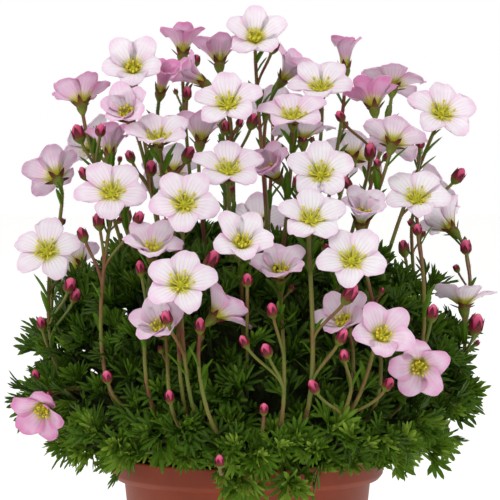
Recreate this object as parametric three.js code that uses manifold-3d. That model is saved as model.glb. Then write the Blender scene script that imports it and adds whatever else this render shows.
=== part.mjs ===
// A potted mossy saxifrage: a leafy cushion in a round plastic pot, with five-petalled blooms on
// thin stems. Millimetres, +Z up, +X to the right of the front, and -Y towards the front.
// The origin is the centre of the flat underside of the pot.
import * as THREE from 'three';
import { mergeVertices } from 'three/addons/utils/BufferGeometryUtils.js';
import Module from 'manifold-3d';

const wasm = await Module();
wasm.setup();

// Driving dimensions
const potHeight = 90;
const rimRadius = 52.5;
const rimBand = 9.5; // height of the band round the rim
const bandStep = 5.2; // how far the wall below steps in from it
const baseRadius = 38.8;
const potWall = 1.5;
const drainHole = { count: 5, radius: 4, ring: 25 };
const gap = 0.3; // between pieces that touch
const soilTop = 81;
const crownRoot = { ring: 22, radius: 6, bottom: 70 }; // each young plant's foot in the soil
const moundCentre = 115; // height of the widest part of the cushion
const tipSpread = { wide: 91, up: 62, down: 40 }; // from there to the furthest leaf tips
const coreSpread = { wide: 54, up: 36, down: 25 }; // and to the crowded inside of the cushion
const clumpCount = 5; // young plants set round the pot, which have grown together
const clumpStart = 20; // degrees from +X to the first line between two clumps
const shootCount = 52;
const shootStart = 225; // degrees from +X to the first, lowest one
const shootRadius = 1.7;
const lowestShoot = -0.36; // sine of its angle below level, from the middle of the mound
const leavesPerShoot = 5;
// Shoots that hang over the rim at the front: degrees from +X, distance from the axis, and height
const rimShoots = [[261, 64, 92], [290, 63, 91], [304, 65, 94], [320, 66, 95]];
const leafLength = 21;
const leafWidth = 16;
const bladeThickness = 1.2; // at the middle of a leaf or bract
const petalLength = 12.6;
const petalHalfWidth = 5.7;
const petalThickness = 0.9;
const petalCurl = 15; // degrees that a petal's foot is steeper, and its tip flatter, than its middle
const throatRadius = 1.6; // the opening where the ovary stands through the corolla
const calyxDepth = 4.5; // from the throat down to the end of the stem
const sepalReach = 4.8;
const budRadius = 2.5;
const loneBud = 26; // a bud further than this from any stem has a stem of its own
const stemRadius = 0.95;
const stalkRadius = 0.8;
const outerStem = { beyond: 62, below: 196 }; // blooms further out and lower have stems before the leaves

const degrees = Math.PI / 180;
const up = new THREE.Vector3(0, 0, 1);

// Each bloom: throat at x, y, z; turn is its heading, 0 to the front and 90 to the right;
// lift is how far it looks up; spread is how far its petals open from its axis; roll is how far
// its first petal stands round from level. An inner one's stem rises within the cushion.
const blooms = [
  // crown of the plant, left to right
  { x: -63, y: -8, z: 224, turn: 195, lift: 58, spread: 54, roll: 31 },
  { x: -43, y: -18, z: 237, turn: 0, lift: 30, spread: 52, roll: 54 },
  { x: -44, y: -38, z: 220, turn: -20, lift: 38, spread: 38, roll: 42 },
  { x: -33, y: -4, z: 229, turn: 20, lift: 60, spread: 16, roll: 26 },
  { x: -25, y: 12, z: 243, turn: 180, lift: 75, spread: 34, roll: 26 },
  { x: -11, y: 26, z: 239, turn: 190, lift: 66, spread: 42, roll: 20 },
  { x: 3, y: -2, z: 248, turn: 0, lift: 40, spread: 56, roll: 18 },
  { x: -17, y: 2, z: 232, turn: -80, lift: 35, spread: 26, roll: 21 },
  { x: -7, y: -38, z: 224, turn: -8, lift: 45, spread: 68, roll: 24 },
  { x: 14, y: 16, z: 233, turn: 60, lift: 50, spread: 34, roll: 39 },
  { x: 28, y: -6, z: 229, turn: -8, lift: 56, spread: 66, roll: 54 },
  { x: 17, y: -38, z: 219, turn: 0, lift: 64, spread: 68, roll: 26 },
  { x: 21, y: -14, z: 211, turn: 190, lift: 80, spread: 74, roll: 26 },
  { x: 38, y: 32, z: 237, turn: 180, lift: 80, spread: 20, roll: 41 },
  { x: 56, y: 14, z: 230, turn: 165, lift: 62, spread: 76, roll: 30 },
  { x: 48, y: -14, z: 223, turn: 190, lift: 60, spread: 44, roll: 47 },
  { x: 54, y: -38, z: 210, turn: 160, lift: 50, spread: 74, roll: 36 },
  { x: 73, y: -16, z: 220, turn: 15, lift: 38, spread: 76, roll: 8 },
  // shoulder
  { x: -73, y: 6, z: 195, turn: 205, lift: 35, spread: 58, roll: 2 },
  { x: -52, y: -18, z: 205, turn: 180, lift: 70, spread: 32, roll: 19 },
  { x: -33, y: -44, z: 211, turn: -5, lift: 60, spread: 60, roll: 38 },
  { x: -50, y: -52, z: 192, turn: 0, lift: 38, spread: 72, roll: 50 },
  { x: -18, y: -12, z: 210, turn: 170, lift: 70, spread: 40, roll: 42 },
  { x: -7, y: -53, z: 200, turn: 0, lift: 54, spread: 70, roll: 22 },
  { x: -23, y: -68, z: 189, turn: 0, lift: 30, spread: 66, roll: 54 },
  { x: 11, y: -32, z: 198, turn: -40, lift: 45, spread: 36, roll: 23 },
  { x: 27, y: -52, z: 199, turn: 0, lift: 32, spread: 68, roll: 18 },
  { x: 23, y: -70, z: 183, turn: 8, lift: 48, spread: 66, roll: 14 },
  { x: 63, y: -42, z: 189, turn: 0, lift: 46, spread: 68, roll: 62 },
  { x: 42, y: -48, z: 182, turn: 15, lift: 55, spread: 36, roll: 34 },
  { x: 79, y: 10, z: 175, turn: 230, lift: 40, spread: 44, roll: 25 },
  // skirt, over the leaves
  { x: -75, y: -32, z: 169, turn: -8, lift: 36, spread: 80, roll: 12 },
  { x: -35, y: -66, z: 171, turn: 8, lift: 60, spread: 52, roll: 48 },
  { x: -2, y: -80, z: 175, turn: 5, lift: 36, spread: 54, roll: 60, inner: true },
  { x: 12, y: -68, z: 163, turn: 0, lift: 55, spread: 46, roll: 35 },
  { x: -24, y: -88, z: 161, turn: 0, lift: 36, spread: 70, roll: 4 },
  { x: 38, y: -78, z: 169, turn: 0, lift: 32, spread: 68, roll: 48, inner: true },
  { x: 82, y: -16, z: 148, turn: 180, lift: 75, spread: 66, roll: 30 },
  { x: -12, y: -78, z: 149, turn: 110, lift: 40, spread: 52, roll: 43 },
  { x: -31, y: -80, z: 144, turn: -20, lift: 40, spread: 44, roll: 35 },
  { x: 36, y: -72, z: 145, turn: -25, lift: 45, spread: 44, roll: 54 },
  { x: 48, y: -84, z: 142, turn: 15, lift: 28, spread: 54, roll: 42 },
  { x: 63, y: -70, z: 131, turn: -5, lift: -12, spread: 50, roll: 24 },
  { x: -75, y: -52, z: 114, turn: -20, lift: -30, spread: 50, roll: 69 },
  // far side, which a viewer at the front does not see
  { x: -60, y: 40, z: 205, turn: 225, lift: 38, spread: 66, roll: 23 },
  { x: -30, y: 62, z: 194, turn: 195, lift: 35, spread: 72, roll: 22 },
  { x: 10, y: 52, z: 218, turn: 180, lift: 52, spread: 60, roll: 26 },
  { x: 4, y: 80, z: 172, turn: 178, lift: 24, spread: 70, roll: 18 },
  { x: 42, y: 62, z: 200, turn: 158, lift: 40, spread: 74, roll: 22 },
  { x: 70, y: 36, z: 186, turn: 120, lift: 32, spread: 64, roll: 34 },
  { x: -66, y: 52, z: 158, turn: 232, lift: 22, spread: 72, roll: 4 },
  { x: 46, y: 76, z: 152, turn: 150, lift: 20, spread: 66, roll: 32 },
];

// Closed buds: x, y, z and share of the full size. Most stand on side stalks of the nearest stem.
const buds = [
  [-64, -12, 213, 1.15], [-55, -30, 215, 0.9], [-44, -26, 205, 0.8], [-36, -34, 201, 1],
  [-62, -14, 198, 0.8], [-40, -60, 184, 0.9], [-55, -50, 182, 1], [-61, -48, 177, 0.9],
  [-66, -46, 158, 1.05], [-64, -44, 154, 0.85], [-39, -70, 166, 0.8], [-77, -38, 143, 0.8],
  [-51, -78, 127, 0.85], [-79, -36, 123, 0.75], [-29, -94, 150, 1], [-17, -92, 147, 0.85],
  [-13, -80, 170, 1.1], [0, -86, 163, 0.85], [9, -86, 152, 0.9], [-1, -90, 141, 0.75],
  [7, -92, 138, 0.95], [37, -86, 158, 1.15], [34, -92, 143, 0.9], [35, -90, 136, 0.85],
  [24, -93, 125, 0.85], [6, -93, 117, 0.75], [-28, -90, 121, 0.75], [51, -84, 125, 0.9],
  [68, -62, 149, 1], [86, -30, 142, 1.25], [83, -12, 170, 1], [80, -12, 197, 1.05],
  [63, -50, 179, 0.8], [35, -24, 220, 0.8], [46, -30, 207, 1], [61, -18, 214, 1],
  [65, -24, 210, 0.8], [-8, -30, 216, 0.8], [2, -20, 218, 1],
  [-23, 0, 228, 0.8], [-20, 20, 240, 0.8], [10, 2, 246, 1], [-22, -34, 206, 1.1],
  [37, -44, 196, 0.8], [-10, -92, 98, 0.8], [20, 66, 190, 1], [-48, 56, 178, 0.9],
  [62, 52, 165, 1], [-20, 84, 150, 0.9],
];

// Random numbers from 0 to 1, the same on each run
function randomFrom(seed) {
  let state = Math.imul(seed + 1, 2654435761) >>> 0;
  return () => {
    state = (Math.imul(state, 1664525) + 1013904223) >>> 0;
    return state / 4294967296;
  };
}

function closedMesh(points, faces) {
  const geometry = new THREE.BufferGeometry().setFromPoints(points);
  return geometry.setIndex(faces.flat());
}

function solidOf(geometry) {
  const bare = geometry.clone();
  bare.deleteAttribute('normal');
  bare.deleteAttribute('uv');
  const merged = mergeVertices(bare, 1e-4);
  return new wasm.Manifold(new wasm.Mesh({
    numProp: 3,
    vertProperties: merged.attributes.position.array,
    triVerts: new Uint32Array(merged.index.array),
  }));
}

// The largest body of a solid: loose scraps that a cut leaves are dropped
function geometryOf(solid) {
  const bodies = solid.decompose().sort((a, b) => b.volume() - a.volume());
  const made = bodies[0].simplify(0.01).getMesh();
  const geometry = new THREE.BufferGeometry();
  geometry.setAttribute('position', new THREE.BufferAttribute(made.vertProperties, 3));
  return geometry.setIndex(new THREE.BufferAttribute(made.triVerts, 1));
}

function latheSolid(profile, sides) {
  const points = profile.map(([radius, height]) => new THREE.Vector2(radius, height));
  return solidOf(new THREE.LatheGeometry(points, sides).rotateX(90 * degrees));
}

function uprightCylinder(radius, bottom, top, sides, x, y) {
  const geometry = new THREE.CylinderGeometry(radius, radius, top - bottom, sides);
  geometry.rotateX(90 * degrees).translate(x, y, (bottom + top) / 2);
  return solidOf(geometry);
}

// A direction from a heading, 0 to the front and 90 to the right, and an angle above level
function heading(turn, lift) {
  const level = Math.cos(lift * degrees);
  return new THREE.Vector3(
    level * Math.sin(turn * degrees), -level * Math.cos(turn * degrees), Math.sin(lift * degrees));
}

// Distance from the middle of the mound to its surface, for a direction above or below level
function moundReach(elevation, spread) {
  const power = 2.4;
  const rise = elevation < 0 ? spread.down : spread.up;
  const level = Math.abs(Math.cos(elevation)) / spread.wide;
  const steep = Math.abs(Math.sin(elevation)) / rise;
  return (level ** power + steep ** power) ** (-1 / power);
}

function clumpOf(x, y) {
  const angle = Math.atan2(y, x) / degrees - clumpStart;
  return Math.floor((((angle % 360) + 360) % 360) / (360 / clumpCount));
}

// Pot and growing medium

function crownPlace(clump) {
  const angle = (clumpStart + (clump + 0.5) * 360 / clumpCount) * degrees;
  return [crownRoot.ring * Math.cos(angle), crownRoot.ring * Math.sin(angle)];
}

function potSolid() {
  const bandFoot = potHeight - rimBand;
  const bodyTop = rimRadius - bandStep;
  const shell = latheSolid([
    [0, 0], [baseRadius - 1, 0], [baseRadius, 1.2], [bodyTop, bandFoot - 0.6],
    [rimRadius - 2, bandFoot], [rimRadius - 0.4, bandFoot + 2], [rimRadius, potHeight - 1.2],
    [rimRadius - 0.5, potHeight], [rimRadius - potWall, potHeight],
    [rimRadius - potWall - 0.6, bandFoot + 1.6], [bodyTop - potWall, bandFoot + 0.8],
    [baseRadius - potWall, 2], [0, 2],
  ], 28);
  const drainHoles = Array.from({ length: drainHole.count }, (_, n) => {
    const angle = n * 360 / drainHole.count * degrees;
    const [x, y] = [drainHole.ring * Math.cos(angle), drainHole.ring * Math.sin(angle)];
    return uprightCylinder(drainHole.radius, -1, 4, 8, x, y);
  });
  return shell.subtract(wasm.Manifold.union(drainHoles));
}

function soilSolid() {
  const slope = (rimRadius - bandStep - baseRadius) / (potHeight - rimBand);
  const wallAt = (height) => baseRadius - potWall + slope * (height - 2) - gap - 0.1;
  const soil = latheSolid([
    [0, 2 + gap], [wallAt(2) - 0.2, 2 + gap], [wallAt(soilTop - 3) - 0.2, soilTop - 3],
    [38, soilTop - 1], [20, soilTop], [0, soilTop + 0.6],
  ], 20);
  const holes = [];
  for (let clump = 0; clump < clumpCount; clump++) {
    const [x, y] = crownPlace(clump);
    const radius = crownRoot.radius + gap + 0.1;
    holes.push(uprightCylinder(radius, crownRoot.bottom - gap, soilTop + 5, 6, x, y));
  }
  return soil.subtract(wasm.Manifold.union(holes));
}

// Blooms

function bloomFrame(bloom) {
  const axis = heading(bloom.turn, bloom.lift);
  const across = new THREE.Vector3().crossVectors(up, axis).normalize();
  const along = new THREE.Vector3().crossVectors(axis, across);
  const throat = new THREE.Vector3(bloom.x, bloom.y, bloom.z);
  const roll = bloom.roll * degrees;
  const outward = (angle) => across.clone().multiplyScalar(Math.cos(angle + roll))
    .addScaledVector(along, Math.sin(angle + roll));
  const place = (radius, angle, height) => throat.clone()
    .addScaledVector(outward(angle), radius).addScaledVector(axis, height);
  return { axis, throat, outward, place };
}

// A point of a petal: share of its length, sideways from its middle line, and off its face
function petalPoint(frame, spread, angle, share, sideways, off) {
  const turnPer = 2 * petalCurl * degrees;
  const foot = (spread - petalCurl) * degrees;
  const here = foot + turnPer * share;
  const arm = petalLength / turnPer;
  const radius = throatRadius + arm * (Math.cos(foot) - Math.cos(here)) - off * Math.cos(here);
  const height = 0.6 + arm * (Math.sin(here) - Math.sin(foot)) + off * Math.sin(here);
  return frame.place(radius, angle, height)
    .addScaledVector(frame.outward(angle + 90 * degrees), sideways);
}

// Five petals joined round the throat: each is thin at its edge and thickest at its middle
function corolla(bloom) {
  const frame = bloomFrame(bloom);
  const points = [];
  const faces = [];
  const perPetal = 9;
  for (let petal = 0; petal < 5; petal++) {
    const angle = petal * 72 * degrees;
    const notch = angle - 36 * degrees;
    const at = (share, sideways, off) => petalPoint(frame, bloom.spread, angle, share, sideways, off);
    const room = (share) => { // half the width that the neighbouring petals leave
      const radius = throatRadius + petalLength * share * Math.sin((bloom.spread - 4) * degrees);
      return Math.min(petalHalfWidth, radius * Math.tan(34 * degrees) - 0.1);
    };
    const wide = room(0.62);
    points.push(
      frame.place(throatRadius, notch, 0.95), // 0 throat, upper edge
      frame.place(throatRadius, notch, 0.35), // 1 throat, lower edge
      frame.place(throatRadius + 0.9, notch, 1.1), // 2 notch between two petals
      at(0.64, -wide, 0.8), at(0.97, -3.2, 0.4), // 3 and 4, one side
      at(0.97, 3.2, 0.4), at(0.64, wide, 0.8), // 5 and 6, the other side
      at(0.6, 0, 0.2), at(0.6, 0, 0.2 - petalThickness)); // 7 and 8 middle, above and below
    const here = petal * perPetal;
    const next = ((petal + 1) % 5) * perPetal;
    const edge = [2, 3, 4, 5, 6].map((n) => here + n).concat(next + 2);
    [[0, 7, false], [1, 8, true]].forEach(([throat, middle, under]) => {
      const ring = [here + throat, ...edge, next + throat];
      ring.forEach((point, n) => {
        const after = ring[(n + 1) % ring.length];
        faces.push(under ? [here + middle, after, point] : [here + middle, point, after]);
      });
    });
    faces.push([here, next, next + 1], [here, next + 1, here + 1]);
  }
  return closedMesh(points, faces);
}

// Stems, with the green cup of sepals and the ovary at the end of each

// Rings of points round a path, one after another, with the radius given for each
function ringsAlong(centres, radii, sides) {
  const normal = new THREE.Vector3(0.2, 1, 0.1);
  return centres.flatMap((centre, n) => {
    const from = centres[Math.max(0, n - 1)];
    const to = centres[Math.min(centres.length - 1, n + 1)];
    const along = to.clone().sub(from).normalize();
    normal.addScaledVector(along, -normal.dot(along)).normalize();
    const side = new THREE.Vector3().crossVectors(along, normal);
    return Array.from({ length: sides }, (_, k) => {
      const angle = k * 2 * Math.PI / sides;
      return centre.clone().addScaledVector(normal, radii[n] * Math.cos(angle))
        .addScaledVector(side, radii[n] * Math.sin(angle));
    });
  });
}

// The faces between such rings, with the first ring closed
function ringFaces(rings, sides) {
  const faces = [];
  for (let k = 2; k < sides; k++) faces.push([0, k, k - 1]);
  for (let ring = 0; ring < rings - 1; ring++) {
    for (let k = 0; k < sides; k++) {
      const here = ring * sides + k;
      const next = ring * sides + (k + 1) % sides;
      faces.push([here, next, next + sides], [here, next + sides, here + sides]);
    }
  }
  return faces;
}

// The line of a stem that ends at a place and heads along an axis there. It starts in the crowded
// inside of the cushion; a low outer one comes out through the leaves and stands before them.
function stemLine(place, end, axis, inner) {
  const reach = Math.hypot(place.x, place.y);
  const outward = new THREE.Vector3(place.x / reach, place.y / reach, 0);
  const at = (distance, sideways, height) => new THREE.Vector3(
    outward.x * distance * sideways, outward.y * distance, height);
  if (!inner && reach > outerStem.beyond && place.z < outerStem.below && axis.z > 0) {
    const root = at(44, 1, 100);
    const low = at(192 - 0.75 * reach, 0.7, 108);
    const high = end.clone().addScaledVector(axis, -0.15 * root.distanceTo(end));
    return new THREE.CubicBezierCurve3(root, low, high, end);
  }
  const root = at(THREE.MathUtils.clamp(0.55 * reach + 4, 12, 46), 1,
    THREE.MathUtils.clamp(place.z - 30, 102, 128));
  const span = root.distanceTo(end);
  const lean = new THREE.Vector3(place.x - root.x, place.y - root.y, 0).multiplyScalar(0.25);
  const low = root.clone().add(lean).addScaledVector(up, 0.45 * span);
  const high = end.clone().addScaledVector(axis, -0.2 * span);
  return new THREE.CubicBezierCurve3(root, low, high, end);
}

function stemCurve(bloom) {
  const { axis, throat } = bloomFrame(bloom);
  return stemLine(throat, throat.clone().addScaledVector(axis, -calyxDepth), axis, bloom.inner);
}

function flowerStem(bloom) {
  const frame = bloomFrame(bloom);
  const curve = stemCurve(bloom);
  const centres = [0, 0.4, 0.76, 1].map((share) => curve.getPoint(share));
  const radii = centres.map(() => stemRadius);
  const points = ringsAlong(centres, radii, 3);
  const faces = ringFaces(centres.length, 3);
  const last = points.length - 3;
  const start = points[last].clone().sub(centres[3]);
  const startAngle = Math.atan2(
    start.dot(frame.outward(90 * degrees)), start.dot(frame.outward(0))) / degrees;
  const cup = points.length;
  for (let n = 0; n < 5; n++) {
    const angle = (n * 72 - 36) * degrees;
    points.push(
      frame.place(sepalReach, angle, 0.2), // sepal tip
      frame.place(2.5, angle + 36 * degrees, -1.4), // gap between two sepals
      frame.place(1.3, angle, -0.6)); // side of the ovary
  }
  points.push(frame.place(0, 0, 3.2));
  const edge = (m) => cup + Math.floor((m % 10) / 2) * 3 + m % 2;
  const nearest = (m) => last + (((Math.round((m * 36 - 18 - startAngle) / 120) % 3) + 3) % 3);
  for (let m = 0; m < 10; m++) {
    faces.push([nearest(m), edge(m + 1), edge(m)]);
    if (nearest(m) !== nearest(m + 1)) faces.push([nearest(m), nearest(m + 1), edge(m + 1)]);
  }
  for (let n = 0; n < 5; n++) {
    const [tip, hollow, ovary] = [0, 1, 2].map((k) => cup + n * 3 + k);
    const lastHollow = cup + ((n + 4) % 5) * 3 + 1;
    const nextOvary = cup + ((n + 1) % 5) * 3 + 2;
    faces.push([tip, hollow, ovary], [tip, ovary, lastHollow],
      [hollow, nextOvary, ovary], [ovary, nextOvary, cup + 15]);
  }
  return solidOf(closedMesh(points, faces));
}

// Buds and bracts

// Where a side stalk that ends at a bud leaves the nearest stem
function forkFor(bud, curves) {
  let best = { distance: Infinity };
  curves.forEach((curve, index) => {
    for (let share = 0.35; share < 0.95; share += 0.05) {
      const point = curve.getPoint(share);
      const distance = point.distanceTo(bud) + (point.z > bud.z - 8 ? 30 : 0);
      if (distance < best.distance) best = { distance, point, index };
    }
  });
  return best;
}

function budOnStalk([x, y, z, size], fork) {
  const bud = new THREE.Vector3(x, y, z);
  const alone = fork.distance > loneBud;
  const from = alone
    ? new THREE.Vector3(x, y, 0).setLength(0.3)
    : bud.clone().sub(fork.point).normalize();
  const away = from.addScaledVector(up, 0.8).normalize();
  const along = (distance) => bud.clone().addScaledVector(away, distance * size);
  const path = alone
    ? [0, 0.4, 0.76].map((share) => stemLine(bud, along(-4), away).getPoint(share))
    : [fork.point, fork.point.clone().lerp(along(-4), 0.55).addScaledVector(up, -1.5)];
  const centres = [...path, along(-4), along(-1.4), along(1.6)];
  const radii = [...path.map(() => stalkRadius), 1, budRadius * size, 0.9 * budRadius * size];
  const points = ringsAlong(centres, radii, 3);
  const tip = points.push(along(4.6)) - 1;
  const faces = ringFaces(centres.length, 3);
  [0, 1, 2].forEach((k) => faces.push([tip - 3 + k, tip - 3 + (k + 1) % 3, tip]));
  return solidOf(closedMesh(points, faces));
}

// A leaf-like blade from its outline in shares of width and length, thickest at its middle
function blade(outline, middle, thickness, at) {
  const points = outline.map(([x, f]) => at(x, f, 0));
  points.push(at(0, middle, thickness / 2), at(0, middle, -thickness / 2));
  const count = outline.length;
  const faces = [];
  for (let n = 0; n < count; n++) {
    const after = (n + 1) % count;
    faces.push([count, n, after], [count + 1, after, n]);
  }
  return closedMesh(points, faces);
}

function bract(curve, share, random) {
  const start = curve.getPoint(share);
  const around = random() * 360;
  const ahead = curve.getTangent(share).addScaledVector(heading(around, 10), 0.7).normalize();
  const side = new THREE.Vector3().crossVectors(ahead, up).normalize();
  const face = new THREE.Vector3().crossVectors(side, ahead);
  const length = 9 + 4 * random();
  const at = (x, f, off) => start.clone().addScaledVector(ahead, length * f)
    .addScaledVector(side, 2.6 * x).addScaledVector(face, off - 1.5 * f * f);
  return solidOf(blade([[0, -0.05], [0.5, 0.45], [0, 1], [-0.5, 0.45]], 0.4, 0.9, at));
}

// Leaves of the cushion

// Edges of five- and three-lobed leaves: shares of the width and of the length
const leafOutlines = [
  [
    [-0.5, 0.62], [-0.2, 0.56], [-0.3, 0.88], [-0.1, 0.66], [0, 1],
    [0.1, 0.66], [0.3, 0.88], [0.2, 0.56], [0.5, 0.62],
  ],
  [[-0.42, 0.74], [-0.12, 0.62], [0, 1], [0.12, 0.62], [0.42, 0.74]],
];

// Degrees round the shoot, and shares of its length, that a crowded leaf tries in order
const leafTrials = [
  [0, 1], [9, 1], [-9, 1], [18, 1], [-18, 1], [0, 0.8], [12, 0.8], [-12, 0.8], [0, 0.65],
  [14, 0.65], [-14, 0.65],
];

// Whether a point lies in the room that a corolla takes
function inCorolla(point, bloom) {
  const { axis, throat } = bloomFrame(bloom);
  const offset = point.clone().sub(throat);
  const height = offset.dot(axis);
  const radius = offset.addScaledVector(axis, -height).length();
  const widest = throatRadius + petalLength * Math.sin(bloom.spread * degrees) + 1.6;
  return height > -1.5 && height < petalLength * Math.cos(bloom.spread * degrees) + 4 &&
    radius < widest;
}

// The tops of the leafy shoots, spread evenly over the mound, and those over the rim
function shootTops() {
  const random = randomFrom(7);
  const shootAt = (hub, outward, rise) => {
    const axis = outward.clone().addScaledVector(up, rise).normalize();
    const across = new THREE.Vector3().crossVectors(up, axis).normalize();
    const along = new THREE.Vector3().crossVectors(axis, across);
    return { hub, axis, across, along, clump: clumpOf(hub.x, hub.y), turn: 360 * random() };
  };
  const spread = Array.from({ length: shootCount }, (_, n) => {
    const azimuth = (shootStart + n * 137.508) * degrees;
    const sine = lowestShoot + (0.97 - lowestShoot) * (n + 0.5) / shootCount;
    const outward = new THREE.Vector3(Math.cos(azimuth), Math.sin(azimuth), 0)
      .multiplyScalar(Math.sqrt(1 - sine * sine)).addScaledVector(up, sine);
    const depth = n % 3 ? 15 : 23; // a third of them stand deeper, behind the others' leaves
    const reach = moundReach(Math.asin(sine), tipSpread) * (0.94 + 0.08 * random()) - depth;
    const hub = outward.clone().multiplyScalar(reach).addScaledVector(up, moundCentre);
    return shootAt(hub, outward, sine > 0 ? 0.35 : 0);
  });
  const overRim = rimShoots.map(([azimuth, distance, height]) => {
    const outward = new THREE.Vector3(Math.cos(azimuth * degrees), Math.sin(azimuth * degrees), 0);
    return shootAt(outward.clone().multiplyScalar(distance).setZ(height), outward, -0.45);
  });
  return [...overRim, ...spread];
}

// A point of a leaf: shares of its width and of its length, and height off its face
function leafPoint(shoot, leaf, x, f, off) {
  const away = shoot.across.clone().multiplyScalar(Math.cos(leaf.angle))
    .addScaledVector(shoot.along, Math.sin(leaf.angle));
  const ahead = shoot.axis.clone().multiplyScalar(Math.cos(leaf.tilt))
    .addScaledVector(away, Math.sin(leaf.tilt));
  const face = shoot.axis.clone().multiplyScalar(Math.sin(leaf.tilt))
    .addScaledVector(away, -Math.cos(leaf.tilt));
  const side = new THREE.Vector3().crossVectors(face, ahead);
  return shoot.hub.clone().addScaledVector(ahead, leaf.length * f)
    .addScaledVector(side, leafWidth * x * Math.min(1, leaf.length / leafLength))
    .addScaledVector(face, off + 2.5 * Math.abs(x) - 3 * f * f);
}

// The leaves of a shoot that find room between the stems, blooms and leaves already there
function leavesOf(shoot, random, taken) {
  const leaves = [];
  for (let n = 0; n < leavesPerShoot; n++) {
    const own = {
      outline: leafOutlines[random() < 0.2 ? 0 : 1],
      tilt: (34 + 30 * random()) * degrees,
      length: leafLength * (0.9 + 0.2 * random()),
    };
    const middle = shoot.turn + n * 360 / leavesPerShoot;
    for (const [turn, share] of leafTrials) {
      const leaf = { ...own, angle: (middle + turn) * degrees, length: own.length * share };
      const at = (x, f, off) => leafPoint(shoot, leaf, x, f, off);
      const tests = leaf.outline.map(([x, f]) => at(x, f, 0)).concat(at(0, 0.4, 0), at(0, 0.7, 0));
      if (tests.some((point) => blooms.some((bloom) => inCorolla(point, bloom)))) continue;
      const blank = solidOf(blade([[0, 0.12], ...leaf.outline], 0.48, bladeThickness + gap, at));
      if (blank.intersect(taken).volume() > 0.01) continue;
      leaves.push(leaf);
      break;
    }
  }
  return leaves;
}

// One body: leaves round the top of a shoot that tapers down into the crown
function rosette(shoot, leaves) {
  const points = [
    shoot.hub.clone().addScaledVector(shoot.axis, 0.9),
    new THREE.Vector3(...crownPlace(shoot.clump), moundCentre - 8),
  ];
  const starts = [];
  leaves.forEach((leaf, n) => {
    const before = leaves[(n + leaves.length - 1) % leaves.length].angle - (n ? 0 : 2 * Math.PI);
    const between = (leaf.angle + before) / 2;
    const at = (x, f, off) => leafPoint(shoot, leaf, x, f, off);
    starts.push(points.length);
    points.push(shoot.hub.clone().addScaledVector(shoot.across, shootRadius * Math.cos(between))
      .addScaledVector(shoot.along, shootRadius * Math.sin(between)));
    points.push(...leaf.outline.map(([x, f]) => at(x, f, 0)));
    points.push(at(0, 0.48, bladeThickness / 2), at(0, 0.48, -bladeThickness / 2));
  });
  const faces = [];
  leaves.forEach((leaf, n) => {
    const start = starts[n];
    const next = starts[(n + 1) % leaves.length];
    const edge = [start, ...leaf.outline.map((_, k) => start + 1 + k), next];
    const middle = start + 1 + leaf.outline.length;
    [0, ...edge].forEach((point, k, ring) => {
      faces.push([middle, point, ring[(k + 1) % ring.length]]);
    });
    edge.forEach((point, k) => faces.push([middle + 1, edge[(k + 1) % edge.length], point]));
    faces.push([1, next, start]);
  });
  return solidOf(closedMesh(points, faces));
}

function addRosettes(cores, pieces) {
  const random = randomFrom(11);
  shootTops().forEach((shoot) => {
    const leaves = leavesOf(shoot, random, wasm.Manifold.union(pieces.flat()));
    if (leaves.length < 3) return;
    const made = rosette(shoot, leaves);
    const others = pieces.filter((_, clump) => clump !== shoot.clump).flat()
      .concat(cores.filter((_, clump) => clump !== shoot.clump));
    if (made.intersect(wasm.Manifold.union(others)).volume() > 0.001) return;
    pieces[shoot.clump].push(made);
  });
}

// The crowded inside of the cushion: its surface rises in a short point between each four corners
function innerMound() {
  const random = randomFrom(5);
  const [rows, sides] = [6, 15];
  const at = (level, azimuth, out) => {
    const reach = moundReach(level * degrees, coreSpread) + out;
    return heading(azimuth, level).multiplyScalar(reach).addScaledVector(up, moundCentre);
  };
  const points = [at(-90, 0, 0), at(90, 0, 0)];
  for (let row = 0; row < rows; row++) {
    for (let k = 0; k < sides; k++) points.push(at(-58 + row * 25, k * 360 / sides, 0));
  }
  const corner = (row, k) => 2 + row * sides + k % sides;
  const faces = [];
  for (let k = 0; k < sides; k++) {
    faces.push([0, corner(0, k + 1), corner(0, k)]);
    faces.push([1, corner(rows - 1, k), corner(rows - 1, k + 1)]);
    for (let row = 0; row < rows - 1; row++) {
      const level = -50 + row * 25 + 14 * random();
      const tip = points.push(at(level, (k + 0.5) * 360 / sides, 3 + 5 * random())) - 1;
      const ring = [corner(row, k), corner(row, k + 1), corner(row + 1, k + 1), corner(row + 1, k)];
      ring.forEach((point, n) => faces.push([point, ring[(n + 1) % 4], tip]));
    }
  }
  return solidOf(closedMesh(points, faces));
}

// The part of it that belongs to one clump, with the crown root that stands in the soil
function clumpCore(mound, clump) {
  const middle = (clumpStart + (clump + 0.5) * 360 / clumpCount) * degrees;
  const half = 180 / clumpCount * degrees;
  const apex = gap / 2 / Math.sin(half);
  const far = (angle) => new THREE.Vector2(
    apex * Math.cos(middle) + 150 * Math.cos(angle), apex * Math.sin(middle) + 150 * Math.sin(angle));
  const wedge = new THREE.Shape([
    new THREE.Vector2(apex * Math.cos(middle), apex * Math.sin(middle)),
    far(middle - half), far(middle + half)]);
  const slice = new THREE.ExtrudeGeometry(wedge, { depth: 150, bevelEnabled: false });
  const foot = uprightCylinder(
    crownRoot.radius, crownRoot.bottom, moundCentre - 15, 6, ...crownPlace(clump));
  return mound.intersect(solidOf(slice.translate(0, 0, 60))).add(foot);
}

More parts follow.
